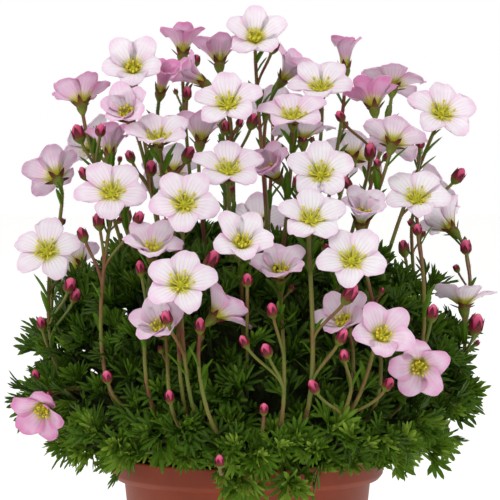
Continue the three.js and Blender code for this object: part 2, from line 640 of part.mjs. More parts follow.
function clumpSolids() {
  const mound = innerMound();
  const cores = Array.from({ length: clumpCount }, (_, clump) => clumpCore(mound, clump));
  const pieces = cores.map(() => []);
  const curves = blooms.map(stemCurve);
  const owner = curves.map((curve) => clumpOf(curve.v0.x, curve.v0.y));
  const random = randomFrom(3);
  curves.forEach((curve, n) => {
    const mine = pieces[owner[n]];
    mine.push(flowerStem(blooms[n]));
    if (random() < 0.2) mine.push(bract(curve, 0.55 + 0.3 * random(), random));
  });
  buds.forEach((bud) => {
    const place = new THREE.Vector3(bud[0], bud[1], bud[2]);
    const fork = forkFor(place, curves);
    const clump = fork.distance > loneBud ? clumpOf(place.x, place.y) : owner[fork.index];
    pieces[clump].push(budOnStalk(bud, fork));
  });
  addRosettes(cores, pieces);
  const [inside, outside] = [rimRadius - bandStep - 0.9, rimRadius + gap];
  const [foot, top] = [potHeight - 14, potHeight + gap];
  const rimClear = latheSolid(
    [[inside, foot], [outside, foot], [outside, top], [inside, top], [inside, foot]], 28);
  return pieces.map((solids, clump) =>
    wasm.Manifold.union([cores[clump], ...solids]).subtract(rimClear));
}

const terracottaPlastic = new THREE.MeshStandardMaterial({ color: 0x8a5245, roughness: 0.6 });
const soilMix = new THREE.MeshStandardMaterial({ color: 0x2b1d14, roughness: 1 });
const leafGreen = new THREE.MeshStandardMaterial({ color: 0x4c6a24, roughness: 0.6 });
const petalPink = new THREE.MeshStandardMaterial({ color: 0xeed9e2, roughness: 0.7 });

const plant = new THREE.Group();

function addPiece(name, geometry, material) {
  const mesh = new THREE.Mesh(geometry, material);
  mesh.name = name;
  plant.add(mesh);
}

addPiece('pot', geometryOf(potSolid()), terracottaPlastic);
addPiece('soil', geometryOf(soilSolid()), soilMix);
clumpSolids().forEach((solid, n) => addPiece(`leafy_clump_${n + 1}`, geometryOf(solid), leafGreen));
blooms.forEach((bloom, n) =>
  addPiece(`bloom_${String(n + 1).padStart(2, '0')}`, corolla(bloom), petalPink));

export default plant;
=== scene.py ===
import math
import bpy
from mathutils import Matrix, Vector


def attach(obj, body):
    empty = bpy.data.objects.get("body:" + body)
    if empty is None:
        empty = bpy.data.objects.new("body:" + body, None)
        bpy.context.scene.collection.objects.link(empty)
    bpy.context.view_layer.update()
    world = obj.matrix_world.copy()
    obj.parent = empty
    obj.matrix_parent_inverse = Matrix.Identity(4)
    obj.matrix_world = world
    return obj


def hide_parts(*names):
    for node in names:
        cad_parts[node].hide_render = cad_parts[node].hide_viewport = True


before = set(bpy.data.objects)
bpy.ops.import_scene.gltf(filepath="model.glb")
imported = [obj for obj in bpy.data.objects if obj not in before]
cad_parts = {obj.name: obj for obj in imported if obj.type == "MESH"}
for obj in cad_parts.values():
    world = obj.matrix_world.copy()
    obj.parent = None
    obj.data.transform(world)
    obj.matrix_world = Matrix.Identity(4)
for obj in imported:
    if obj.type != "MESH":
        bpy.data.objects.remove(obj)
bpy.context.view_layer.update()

# Every model below is made in millimetres, in the part's own frame, and brought to metres when it is done.
mm = 0.001
up = Vector((0, 0, 1))
clumpCount = 5
clumpStart = 20  # degrees from +X to the first line between two clumps
moundCentre = 115
throatRadius = 1.6  # opening of a bloom, where its ovary stands through
calyxDepth = 4.5  # from there down to the end of the stem
petalLength = 12.6
petalCurl = 15  # degrees that a petal's foot is steeper, and its tip flatter, than its middle

# Throat of each bloom, its heading (0 to the front, 90 to the right), how far it looks up, how far it
# opens, and how far its first petal stands round from level
blooms = [
    (-63, -8, 224, 195, 58, 54, 31), (-43, -18, 237, 0, 30, 52, 54), (-44, -38, 220, -20, 38, 38, 42),
    (-33, -4, 229, 20, 60, 16, 26), (-25, 12, 243, 180, 75, 34, 26), (-11, 26, 239, 190, 66, 42, 20),
    (3, -2, 248, 0, 40, 56, 18), (-17, 2, 232, -80, 35, 26, 21), (-7, -38, 224, -8, 45, 68, 24),
    (14, 16, 233, 60, 50, 34, 39), (28, -6, 229, -8, 56, 66, 54), (17, -38, 219, 0, 64, 68, 26),
    (21, -14, 211, 190, 80, 74, 26), (38, 32, 237, 180, 80, 20, 41), (56, 14, 230, 165, 62, 76, 30),
    (48, -14, 223, 190, 60, 44, 47), (54, -38, 210, 160, 50, 74, 36), (73, -16, 220, 15, 38, 76, 8),
    (-73, 6, 195, 205, 35, 58, 2), (-52, -18, 205, 180, 70, 32, 19), (-33, -44, 211, -5, 60, 60, 38),
    (-50, -52, 192, 0, 38, 72, 50), (-18, -12, 210, 170, 70, 40, 42), (-7, -53, 200, 0, 54, 70, 22),
    (-23, -68, 189, 0, 30, 66, 54), (11, -32, 198, -40, 45, 36, 23), (27, -52, 199, 0, 32, 68, 18),
    (23, -70, 183, 8, 48, 66, 14), (63, -42, 189, 0, 46, 68, 62), (42, -48, 182, 15, 55, 36, 34),
    (79, 10, 175, 230, 40, 44, 25), (-75, -32, 169, -8, 36, 80, 12), (-35, -66, 171, 8, 60, 52, 48),
    (-2, -80, 175, 5, 36, 54, 60), (12, -68, 163, 0, 55, 46, 35), (-24, -88, 161, 0, 36, 70, 4),
    (38, -78, 169, 0, 32, 68, 48), (82, -16, 148, 180, 75, 66, 30), (-12, -78, 149, 110, 40, 52, 43),
    (-31, -80, 144, -20, 40, 44, 35), (36, -72, 145, -25, 45, 44, 54), (48, -84, 142, 15, 28, 54, 42),
    (63, -70, 131, -5, -12, 50, 24), (-75, -52, 114, -20, -30, 50, 69), (-60, 40, 205, 225, 38, 66, 23),
    (-30, 62, 194, 195, 35, 72, 22), (10, 52, 218, 180, 52, 60, 26), (4, 80, 172, 178, 24, 70, 18),
    (42, 62, 200, 158, 40, 74, 22), (70, 36, 186, 120, 32, 64, 34), (-66, 52, 158, 232, 22, 72, 4),
    (46, 76, 152, 150, 20, 66, 32),
]
innerStems = (33, 36)  # blooms whose stems rise within the cushion

# Closed buds: place, and share of the full size
buds = [
    (-64, -12, 213, 1.15), (-55, -30, 215, 0.9), (-44, -26, 205, 0.8), (-36, -34, 201, 1),
    (-62, -14, 198, 0.8), (-40, -60, 184, 0.9), (-55, -50, 182, 1), (-61, -48, 177, 0.9),
    (-66, -46, 158, 1.05), (-64, -44, 154, 0.85), (-39, -70, 166, 0.8), (-77, -38, 143, 0.8),
    (-51, -78, 127, 0.85), (-79, -36, 123, 0.75), (-29, -94, 150, 1), (-17, -92, 147, 0.85),
    (-13, -80, 170, 1.1), (0, -86, 163, 0.85), (9, -86, 152, 0.9), (-1, -90, 141, 0.75),
    (7, -92, 138, 0.95), (37, -86, 158, 1.15), (34, -92, 143, 0.9), (35, -90, 136, 0.85),
    (24, -93, 125, 0.85), (6, -93, 117, 0.75), (-28, -90, 121, 0.75), (51, -84, 125, 0.9),
    (68, -62, 149, 1), (86, -30, 142, 1.25), (83, -12, 170, 1), (80, -12, 197, 1.05), (63, -50, 179, 0.8),
    (35, -24, 220, 0.8), (46, -30, 207, 1), (61, -18, 214, 1), (65, -24, 210, 0.8), (-8, -30, 216, 0.8),
    (2, -20, 218, 1), (-23, 0, 228, 0.8), (-20, 20, 240, 0.8), (10, 2, 246, 1), (-22, -34, 206, 1.1),
    (37, -44, 196, 0.8), (-10, -92, 98, 0.8), (20, 66, 190, 1), (-48, 56, 178, 0.9), (62, 52, 165, 1),
    (-20, 84, 150, 0.9),
]


# Random numbers, the same on each run
def randomFrom(seed):
    state = [((seed + 1) * 2654435761) % 2 ** 32]

    def draw(low=0.0, high=1.0):
        state[0] = (state[0] * 1664525 + 1013904223) % 2 ** 32
        return low + (high - low) * state[0] / 2 ** 32

    return draw


# Camera, floor and light
camera = {
    "distance": 1500,
    "elevation": 4,  # degrees, as the photograph looks down a little on the rims of the blooms
    "target": (1, 0, 168),
    "halfView": 95.75,  # half of what the frame shows at the pot's axis
    "sensor": 36,
}
studio = {
    "floorRadius": 3000,
    "floorColour": "F4F4F2",
    "floorGlow": 0.3,  # evens the floor out with the backdrop
    "backdrop": 1.0,
    "skyStrength": 0.74,
    "keyPlace": (-700, -1300, 1900),
    "keySize": 1.1,
    "keyPower": 16,
    "fillPlace": (1300, -1200, 700),
    "fillSize": 1.6,
    "fillPower": 2.5,
}


def colour(code):
    shares = [int(code[n:n + 2], 16) / 255 for n in (0, 2, 4)]
    linear = [s / 12.92 if s <= 0.04045 else ((s + 0.055) / 1.055) ** 2.4 for s in shares]
    return (*linear, 1.0)


# Adds a node with its settings and links: keys are sockets by number or name, or the node's own settings,
# and a node that is linked gives its first output
def addNode(tree, kind, settings=None, links=None):
    node = tree.nodes.new("ShaderNode" + kind)
    for key, value in (settings or {}).items():
        if key == "stops":
            while len(node.color_ramp.elements) < len(value):
                node.color_ramp.elements.new(0.5)
            for element, (place, code) in zip(node.color_ramp.elements, value):
                element.position = place
                element.color = colour(code)
        elif isinstance(key, int) or key in node.inputs:
            node.inputs[key].default_value = value
        else:
            setattr(node, key, value)
    for key, source in (links or {}).items():
        tree.links.new(getattr(source, "outputs", [source])[0], node.inputs[key])
    return node


def newMaterial(name):
    material = bpy.data.materials.new(name)
    material.use_nodes = True
    material.node_tree.nodes.clear()
    return material, material.node_tree


def aimed(thing, place, target):
    thing.location = Vector(place) * mm
    thing.rotation_euler = (Vector(target) - Vector(place)).to_track_quat("-Z", "Y").to_euler()


def addCamera():
    lens = bpy.data.cameras.new("camera")
    lens.sensor_width = camera["sensor"]
    lens.lens = camera["sensor"] / 2 * camera["distance"] / camera["halfView"]
    lens.clip_start = 0.05
    lens.clip_end = 50
    eye = bpy.data.objects.new("camera", lens)
    bpy.context.collection.objects.link(eye)
    lift = math.radians(camera["elevation"])
    back = Vector((0, -math.cos(lift), math.sin(lift))) * camera["distance"]
    aimed(eye, Vector(camera["target"]) + back, camera["target"])
    bpy.context.scene.camera = eye


def addStudio():
    bpy.ops.object.select_all(action="DESELECT")
    bpy.ops.mesh.primitive_circle_add(vertices=96, radius=studio["floorRadius"] * mm, fill_type="NGON")
    floor = bpy.context.object
    floor.name = "studioFloor"
    material, tree = newMaterial("paintedFloor")
    grain = addNode(tree, "TexNoise", {"Scale": 30.0, "Detail": 2.0})
    rough = addNode(tree, "MapRange", {"To Min": 0.75, "To Max": 0.9}, {0: grain})
    shader = addNode(tree, "BsdfPrincipled", {
        "Base Color": colour(studio["floorColour"]), "Specular IOR Level": 0.1,
        "Emission Color": (1, 1, 1, 1), "Emission Strength": studio["floorGlow"],
    }, {"Roughness": rough})
    addNode(tree, "OutputMaterial", links={"Surface": shader})
    floor.data.materials.append(material)
    world = bpy.data.worlds.new("studioSky")
    bpy.context.scene.world = world
    world.use_nodes = True
    sky = world.node_tree.nodes["Background"]
    sky.inputs["Color"].default_value = (1, 1, 1, 1)
    seen = addNode(world.node_tree, "LightPath")
    strength = addNode(world.node_tree, "MapRange", {
        "To Min": studio["skyStrength"], "To Max": studio["backdrop"]}, {0: seen.outputs["Is Camera Ray"]})
    world.node_tree.links.new(strength.outputs[0], sky.inputs["Strength"])
    for name in ("key", "fill"):
        lamp = bpy.data.lights.new(name + "Light", "AREA")
        lamp.size = studio[name + "Size"]
        lamp.energy = studio[name + "Power"]
        light = bpy.data.objects.new(name + "Light", lamp)
        bpy.context.collection.objects.link(light)
        aimed(light, studio[name + "Place"], (0, 0, 150))
    bpy.context.scene.view_settings.view_transform = "Standard"


# Modelling helpers

def selectOnly(*things):
    bpy.ops.object.select_all(action="DESELECT")
    for thing in things:
        thing.select_set(True)
    bpy.context.view_layer.objects.active = things[0]


def turnFacesOut(model):
    selectOnly(model)
    bpy.ops.object.mode_set(mode="EDIT")
    bpy.ops.mesh.select_all(action="SELECT")
    bpy.ops.mesh.normals_make_consistent(inside=False)
    bpy.ops.object.mode_set(mode="OBJECT")


# Grows a model upwards from a flat polygon: each ring is (height, half width, half depth), and a last
# ring of no width is drawn to a point
def grow(name, sides, rings):
    bpy.ops.object.select_all(action="DESELECT")
    bpy.ops.mesh.primitive_circle_add(vertices=sides, radius=1, fill_type="NGON")
    model = bpy.context.object
    model.name = name
    bpy.ops.object.mode_set(mode="EDIT")
    bpy.ops.mesh.select_all(action="SELECT")
    height, width, depth = rings[0]
    bpy.ops.transform.resize(value=(width, depth, 1), center_override=(0, 0, 0))
    bpy.ops.transform.translate(value=(0, 0, height))
    for nextHeight, nextWidth, nextDepth in rings[1:]:
        bpy.ops.mesh.extrude_region_move(TRANSFORM_OT_translate={"value": (0, 0, nextHeight - height)})
        if nextWidth == 0:
            bpy.ops.mesh.merge(type="CENTER")
            break
        bpy.ops.transform.resize(
            value=(nextWidth / width, nextDepth / depth, 1), center_override=(0, 0, nextHeight))
        height, width, depth = nextHeight, nextWidth, nextDepth
    bpy.ops.object.mode_set(mode="OBJECT")
    turnFacesOut(model)
    return model


def applyModifiers(model):
    selectOnly(model)
    for modifier in list(model.modifiers):
        bpy.ops.object.modifier_apply(modifier=modifier.name)


# A level at each point of a mesh, for its material to read
def setLevel(mesh, name, levelAt):
    layer = mesh.attributes.get(name) or mesh.attributes.new(name, "FLOAT", "POINT")
    layer.data.foreach_set("value", [levelAt(point.co) for point in mesh.vertices])


# A copy with its own mesh, and with levels that are the same all over it
def copyOf(model, matrix, **levels):
    mesh = model.data.copy()
    mesh.transform(matrix)
    for name, level in levels.items():
        setLevel(mesh, name, lambda place: level)
    part = bpy.data.objects.new(model.name + "Copy", mesh)
    bpy.context.collection.objects.link(part)
    return part


def joined(name, parts):
    selectOnly(*parts)
    bpy.ops.object.join()
    piece = bpy.context.object
    piece.name = name
    piece.data.name = name
    return piece


def dropModels(*models):
    for model in models:
        bpy.data.objects.remove(model)


# Round rods along smooth curves: each rod is a list of (place, handle before, handle after, radius)
def rods(name, paths, roundness, steps, material):
    curve = bpy.data.curves.new(name, "CURVE")
    curve.dimensions = "3D"
    curve.bevel_depth = 1
    curve.bevel_resolution = roundness
    curve.resolution_u = steps
    curve.use_fill_caps = True
    for path in paths:
        spline = curve.splines.new("BEZIER")
        spline.bezier_points.add(len(path) - 1)
        for point, (place, before, after, radius) in zip(spline.bezier_points, path):
            point.co, point.handle_left, point.handle_right = place, before, after
            point.radius = radius
    curve.materials.append(material)
    rod = bpy.data.objects.new(name, curve)
    bpy.context.collection.objects.link(rod)
    selectOnly(rod)
    bpy.ops.object.convert(target="MESH")
    return bpy.context.object


# Brings a finished piece to metres and says what it rides on and stands for
def settle(piece, replaced=(), angle=50):
    piece.data.transform(Matrix.Scale(mm, 4))
    selectOnly(piece)
    bpy.ops.object.shade_smooth_by_angle(angle=math.radians(angle))
    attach(piece, "root")
    if replaced:
        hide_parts(*replaced)


# A level direction, by its degrees from +X
def levelWay(degrees):
    return Vector((math.cos(math.radians(degrees)), math.sin(math.radians(degrees)), 0))


# A direction by its degrees from the front and up from level
def heading(turn, lift):
    level = math.cos(math.radians(lift))
    around = math.radians(turn)
    return Vector((level * math.sin(around), -level * math.cos(around), math.sin(math.radians(lift))))


def basis(x, y, z, place):
    return Matrix.Translation(place) @ Matrix((x, y, z)).transposed().to_4x4()


def clumpOf(place):
    angle = math.degrees(math.atan2(place.y, place.x)) - clumpStart
    return int(angle % 360 // (360 / clumpCount))


# Materials

# Polypropylene, moulded: an even, dull skin with faint flow marks, a little paler where it has rubbed
def mouldedPolypropylene():
    material, tree = newMaterial("mouldedPolypropylene")
    place = addNode(tree, "TexCoord").outputs["Object"]
    flow = addNode(tree, "TexNoise", {"Scale": 38.0, "Detail": 3.0, "Roughness": 0.6}, {"Vector": place})
    tone = addNode(tree, "ValToRGB", {
        "stops": [(0.3, "7B3520"), (0.55, "883C25"), (0.8, "964A32")]}, {0: flow})
    # Grain of 0.4 mm, as a spark-worn mould leaves it
    grain = addNode(tree, "TexNoise", {"Scale": 2600.0, "Detail": 2.0}, {"Vector": place})
    rough = addNode(tree, "MapRange", {"To Min": 0.42, "To Max": 0.6}, {0: flow})
    bump = addNode(tree, "Bump", {"Strength": 0.12, "Distance": 0.0002}, {"Height": grain})
    shader = addNode(tree, "BsdfPrincipled", {"IOR": 1.49, "Specular IOR Level": 0.2},
                    {"Base Color": tone, "Roughness": rough, "Normal": bump})
    addNode(tree, "OutputMaterial", links={"Surface": shader})
    return material


# Peat potting mix, sieved: dark fibrous crumbs of 1 to 4 mm with paler bark in between
def sievedPeat():
    material, tree = newMaterial("sievedPeat")
    place = addNode(tree, "TexCoord").outputs["Object"]
    crumbs = addNode(tree, "TexVoronoi", {"Scale": 420.0}, {"Vector": place})
    fibre = addNode(tree, "TexNoise", {"Scale": 900.0, "Detail": 4.0}, {"Vector": place})
    tone = addNode(tree, "ValToRGB", {
        "stops": [(0.25, "1C120C"), (0.55, "33231A"), (0.8, "57412F")]}, {0: fibre})
    bump = addNode(tree, "Bump", {"Strength": 0.8, "Distance": 0.001}, {"Height": crumbs})
    shader = addNode(tree, "BsdfPrincipled", {"Roughness": 0.95, "Specular IOR Level": 0.2},
                    {"Base Color": tone, "Normal": bump})
    addNode(tree, "OutputMaterial", links={"Surface": shader})
    return material


# Living leaf, with a thin waxy skin: dark green, with a painted highlight along each lobe's middle, yellower
# while young, and lighter and yellower low on the cushion as painted light
def waxyLeaf():
    material, tree = newMaterial("waxyLeaf")
    place = addNode(tree, "TexCoord").outputs["Object"]
    # Its level holds each leaf's youth and the painted light on the lower leaves
    ageAndLight = addNode(tree, "Attribute", {"attribute_name": "youth"}).outputs["Fac"]
    rib = addNode(tree, "Attribute", {"attribute_name": "rib"}).outputs["Fac"]
    patch = addNode(tree, "TexNoise", {"Scale": 260.0, "Detail": 3.0}, {"Vector": place})  # patches of 4 mm
    mixed = addNode(tree, "Math", {"operation": "MULTIPLY_ADD", 1: 0.35, 2: -0.14}, {0: patch})
    level = addNode(tree, "Math", {"operation": "ADD"}, {0: mixed, 1: ageAndLight})
    tone = addNode(tree, "ValToRGB", {
        "stops": [(0.0, "101F02"), (0.3, "203A04"), (0.65, "42640C"), (1.0, "8AA43A")]}, {0: level})
    # Painted highlight: a paler green line along the middle of each lobe
    share = addNode(tree, "Math", {"operation": "MULTIPLY", 1: 0.2}, {0: rib})
    ribHighlighted = addNode(tree, "Mix", {"data_type": "RGBA", 7: colour("86A648")}, {0: share, 6: tone})
    rough = addNode(tree, "MapRange", {"To Min": 0.42, "To Max": 0.62}, {0: patch})
    bump = addNode(tree, "Bump", {"Strength": 0.25, "Distance": 0.0003}, {"Height": patch})
    shader = addNode(tree, "BsdfPrincipled", {
        "IOR": 1.42, "Specular IOR Level": 0.07, "Subsurface Weight": 0.12,
        "Subsurface Radius": (0.6, 1.0, 0.2), "Subsurface Scale": 0.0012,
    }, {"Base Color": ribHighlighted.outputs[2], "Roughness": rough, "Normal": bump})
    addNode(tree, "OutputMaterial", links={"Surface": shader})
    return material


# Soft flower stem, ribbed and finely hairy: olive, flushed with red brown in stretches
def ribbedStem():
    material, tree = newMaterial("ribbedStem")
    place = addNode(tree, "TexCoord").outputs["Object"]
    stretch = addNode(tree, "TexNoise", {"Scale": 45.0, "Detail": 2.0}, {"Vector": place})  # of 22 mm
    drawnOut = addNode(tree, "Mapping", {"Scale": (1600.0, 1600.0, 90.0)}, {0: place})
    ribs = addNode(tree, "TexNoise", {"Scale": 1.0, "Detail": 2.0}, {"Vector": drawnOut})  # 0.6 mm apart
    level = addNode(tree, "Math", {"operation": "MULTIPLY_ADD", 1: 0.3}, {0: ribs, 2: stretch})
    tone = addNode(tree, "ValToRGB", {
        "stops": [(0.48, "54621A"), (0.62, "6A6A24"), (0.74, "704F26"), (0.86, "6A3020")]}, {0: level})
    bump = addNode(tree, "Bump", {"Strength": 0.3, "Distance": 0.0002}, {"Height": ribs})
    shader = addNode(tree, "BsdfPrincipled", {
        "IOR": 1.4, "Roughness": 0.55, "Sheen Weight": 0.06, "Subsurface Weight": 0.1,
        "Subsurface Scale": 0.001}, {"Base Color": tone, "Normal": bump})
    addNode(tree, "OutputMaterial", links={"Surface": shader})
    return material


# Patches of the given scale over the flush that runs from the foot of a piece to its tip
def reachTone(tree, scale, stops):
    place = addNode(tree, "TexCoord").outputs["Object"]
    along = addNode(tree, "Attribute", {"attribute_name": "reach"}).outputs["Fac"]
    patch = addNode(tree, "TexNoise", {"Scale": scale, "Detail": 2.0}, {"Vector": place})
    level = addNode(tree, "Math", {"operation": "MULTIPLY_ADD", 1: 0.5, 2: -0.25}, {0: patch})
    total = addNode(tree, "Math", {"operation": "ADD"}, {0: level, 1: along})
    return patch, addNode(tree, "ValToRGB", {"stops": stops}, {0: total})


# Sepal and cup, leafy tissue: dark green that turns maroon towards the points
def flushedSepal():
    material, tree = newMaterial("flushedSepal")
    patch, tone = reachTone(tree, 600.0, [
        (0.1, "83902C"), (0.42, "5E6A22"), (0.7, "6A3324"), (1.0, "5A1A28")])
    bump = addNode(tree, "Bump", {"Strength": 0.3, "Distance": 0.0002}, {"Height": patch})
    shader = addNode(tree, "BsdfPrincipled", {"IOR": 1.4, "Roughness": 0.6, "Specular IOR Level": 0.25},
                    {"Base Color": tone, "Normal": bump})
    addNode(tree, "OutputMaterial", links={"Surface": shader})
    return material


# Bud petals, rolled tight: crimson at the foot, paler towards the tip
def crimsonBud():
    material, tree = newMaterial("crimsonBud")
    patch, tone = reachTone(tree, 500.0, [
        (0.0, "881638"), (0.42, "BB315E"), (0.75, "D4557F"), (1.0, "E88CA8")])
    bump = addNode(tree, "Bump", {"Strength": 0.2, "Distance": 0.0002}, {"Height": patch})
    shader = addNode(tree, "BsdfPrincipled", {
        "IOR": 1.4, "Roughness": 0.42, "Subsurface Weight": 0.15, "Subsurface Scale": 0.001,
    }, {"Base Color": tone, "Normal": bump})
    addNode(tree, "OutputMaterial", links={"Surface": shader})
    return material


# Petal, thin silky tissue: nearly white, flushed pink in patches, at the edge and beneath, with fine
# pink veins that fan out from a yellow-green foot
def silkyPetal():
    material, tree = newMaterial("silkyPetal")
    chart = addNode(tree, "SeparateXYZ", links={0: addNode(tree, "UVMap", {"uv_map": "petalMap"})})
    across, along = chart.outputs[0], chart.outputs[1]
    place = addNode(tree, "TexCoord").outputs["Object"]
    tint = addNode(tree, "Attribute", {"attribute_name": "tint"}).outputs["Fac"]
    under = addNode(tree, "Attribute", {"attribute_name": "under"}).outputs["Fac"]

    # Veins: 7 main ones 1.5 mm apart that fade towards the tip, and 19 fine ones that fade towards the foot
    wander = addNode(tree, "TexNoise", {"Scale": 420.0, "Detail": 2.0}, {"Vector": place})
    sway = addNode(tree, "Math", {"operation": "MULTIPLY_ADD", 1: 0.05, 2: -0.025}, {0: wander})
    swayed = addNode(tree, "Math", {"operation": "ADD"}, {0: across, 1: sway})
    veins = []
    for count, thinness in ((7, 10), (19, 4)):
        wave = addNode(tree, "Math", {
            "operation": "MULTIPLY_ADD", 1: math.tau * count, 2: math.pi * (1 - count)}, {0: swayed})
        ridge = addNode(tree, "Math", {"operation": "COSINE"}, {0: wave})
        lifted = addNode(tree, "Math", {"operation": "MULTIPLY_ADD", 1: 0.5, 2: 0.5}, {0: ridge})
        veins.append(addNode(tree, "Math", {"operation": "POWER", 1: thinness}, {0: lifted}))
    main, fine = veins
    mainFade = addNode(tree, "MapRange", {"From Min": 0.22, "From Max": 0.66, "To Min": 1.0, "To Max": 0.22},
                       {0: along})
    fineFade = addNode(tree, "MapRange", {"From Min": 0.25, "From Max": 0.6, "To Min": 0.0, "To Max": 0.35},
                       {0: along})
    faded = addNode(tree, "Math", {"operation": "MULTIPLY"}, {0: main, 1: mainFade})
    vein = addNode(tree, "Math", {"operation": "MULTIPLY_ADD"}, {0: fine, 1: fineFade, 2: faded})

    # Pink flush
    fromMiddle = addNode(tree, "Math", {"operation": "SUBTRACT", 1: 0.5}, {0: across})
    side = addNode(tree, "Math", {"operation": "ABSOLUTE"}, {0: fromMiddle})
    edgeSide = addNode(tree, "MapRange", {"From Min": 0.3, "From Max": 0.5}, {0: side})
    edgeTip = addNode(tree, "MapRange", {"From Min": 0.72, "From Max": 1.0}, {0: along})
    edge = addNode(tree, "Math", {"operation": "MAXIMUM"}, {0: edgeSide, 1: edgeTip})
    cloud = addNode(tree, "TexNoise", {"Scale": 170.0, "Detail": 1.0}, {"Vector": place})  # of 6 mm
    patchy = addNode(tree, "Math", {"operation": "MULTIPLY_ADD", 1: 0.5, 2: -0.22}, {0: cloud})
    base = addNode(tree, "Math", {"operation": "ADD"}, {0: patchy, 1: tint})
    flush = addNode(tree, "Math", {"operation": "MULTIPLY_ADD", 1: 0.34}, {0: edge, 2: base})
    flushed = addNode(tree, "Math", {"operation": "MULTIPLY_ADD", 1: 0.08, "use_clamp": True},
                      {0: under, 2: flush})
    body = addNode(tree, "ValToRGB", {
        "stops": [(0.0, "FEF6FE"), (0.3, "F8E0F1"), (0.65, "EBB8D7"), (1.0, "D87FAE")]}, {0: flushed})

    # Yellow-green foot, streaked along the fine veins
    streaks = addNode(tree, "Math", {"operation": "MULTIPLY_ADD", 1: -0.15}, {0: fine, 2: along})
    footFade = addNode(tree, "MapRange", {"From Min": 0.1, "From Max": 0.33, "To Min": 1.0, "To Max": 0.0},
                       {0: streaks})
    foot = addNode(tree, "ValToRGB", {
        "stops": [(0.0, "EEDCCB"), (0.3, "E2D780"), (0.6, "CDCA3E"), (1.0, "B0AE1E")]}, {0: footFade})
    whole = addNode(tree, "Mix", {"data_type": "RGBA"}, {0: footFade, 6: body, 7: foot})

    veinTone = addNode(tree, "ValToRGB", {
        "stops": [(0.12, "9A8A1C"), (0.3, "AE7656"), (0.45, "B4789A"), (0.7, "B98BB2")]}, {0: along})
    veinShare = addNode(tree, "Math", {"operation": "MULTIPLY", 1: 0.5, "use_clamp": True}, {0: vein})
    veined = addNode(tree, "Mix", {"data_type": "RGBA"}, {0: veinShare, 6: whole.outputs[2], 7: veinTone})
    bump = addNode(tree, "Bump", {"Strength": 0.25, "Distance": 0.0002, "invert": True}, {"Height": vein})
    shader = addNode(tree, "BsdfPrincipled", {
        "IOR": 1.4, "Roughness": 0.6, "Specular IOR Level": 0.3, "Sheen Weight": 0.15,
        "Subsurface Weight": 0.6, "Subsurface Radius": (1.0, 0.85, 0.95), "Subsurface Scale": 0.002,
    }, {"Base Color": veined.outputs[2], "Normal": bump})
    addNode(tree, "OutputMaterial", links={"Surface": shader})
    return material


# Heart of a bloom, fleshy nectar tissue and pollen: wet-looking yellow green, grainy on the anthers
def fleshyTissue(name, low, high, grain, roughness):
    material, tree = newMaterial(name)
    place = addNode(tree, "TexCoord").outputs["Object"]
    patch = addNode(tree, "TexNoise", {"Scale": grain, "Detail": 2.0}, {"Vector": place})
    tone = addNode(tree, "ValToRGB", {"stops": [(0.3, low), (0.7, high)]}, {0: patch})
    bump = addNode(tree, "Bump", {"Strength": 0.4, "Distance": 0.0002}, {"Height": patch})
    shader = addNode(tree, "BsdfPrincipled", {
        "IOR": 1.4, "Roughness": roughness, "Subsurface Weight": 0.2, "Subsurface Scale": 0.001,
    }, {"Base Color": tone, "Normal": bump})
    addNode(tree, "OutputMaterial", links={"Surface": shader})
    return material


# Woody shoots with last year's dead leaves: dull brown with a green cast, made very dark as painted shade for
# the inside of the cushion
def woodyShootAndShade():
    material, tree = newMaterial("woodyShootAndShade")
    place = addNode(tree, "TexCoord").outputs["Object"]
    patch = addNode(tree, "TexNoise", {"Scale": 350.0, "Detail": 4.0}, {"Vector": place})  # scraps of 3 mm
    # Very dark: the shoots' own brown, darkened further as painted shade
    tone = addNode(tree, "ValToRGB", {
        "stops": [(0.3, "182009"), (0.55, "2A3411"), (0.75, "464822")]}, {0: patch})
    bump = addNode(tree, "Bump", {"Strength": 0.6, "Distance": 0.0008}, {"Height": patch})
    shader = addNode(tree, "BsdfPrincipled", {"Roughness": 0.85, "Specular IOR Level": 0.2},
                    {"Base Color": tone, "Normal": bump})
    addNode(tree, "OutputMaterial", links={"Surface": shader})
    return material


addCamera()
addStudio()
leafSkin = waxyLeaf()
stemSkin = ribbedStem()
sepalSkin = flushedSepal()
petalSkin = silkyPetal()
budSkin = crimsonBud()
discFlesh = fleshyTissue("nectarDisc", "A3A51A", "D2CE34", 900.0, 0.4)
filamentFlesh = fleshyTissue("filament", "CFC94A", "E6E07A", 900.0, 0.5)
antherFlesh = fleshyTissue("anther", "BDAE1E", "E8DE44", 2500.0, 0.8)
shootAndShadeSkin = woodyShootAndShade()
print("studio and materials ready")

# Pot
pot = {
    "height": 90,
    "rimRadius": 52.5,
    "band": 9.5,  # height of the band round the rim
    "step": 5.2,  # how far the wall steps in below it
    "base": 38.8,
    "wall": 1.5,
    "sides": 96,
    "edge": 0.5,  # rounding of its edges
    "holes": {"count": 5, "radius": 4, "ring": 25},
}


def potWallAt(height):
    slope = (pot["rimRadius"] - pot["step"] - pot["base"]) / (pot["height"] - pot["band"])
    return pot["base"] + slope * height


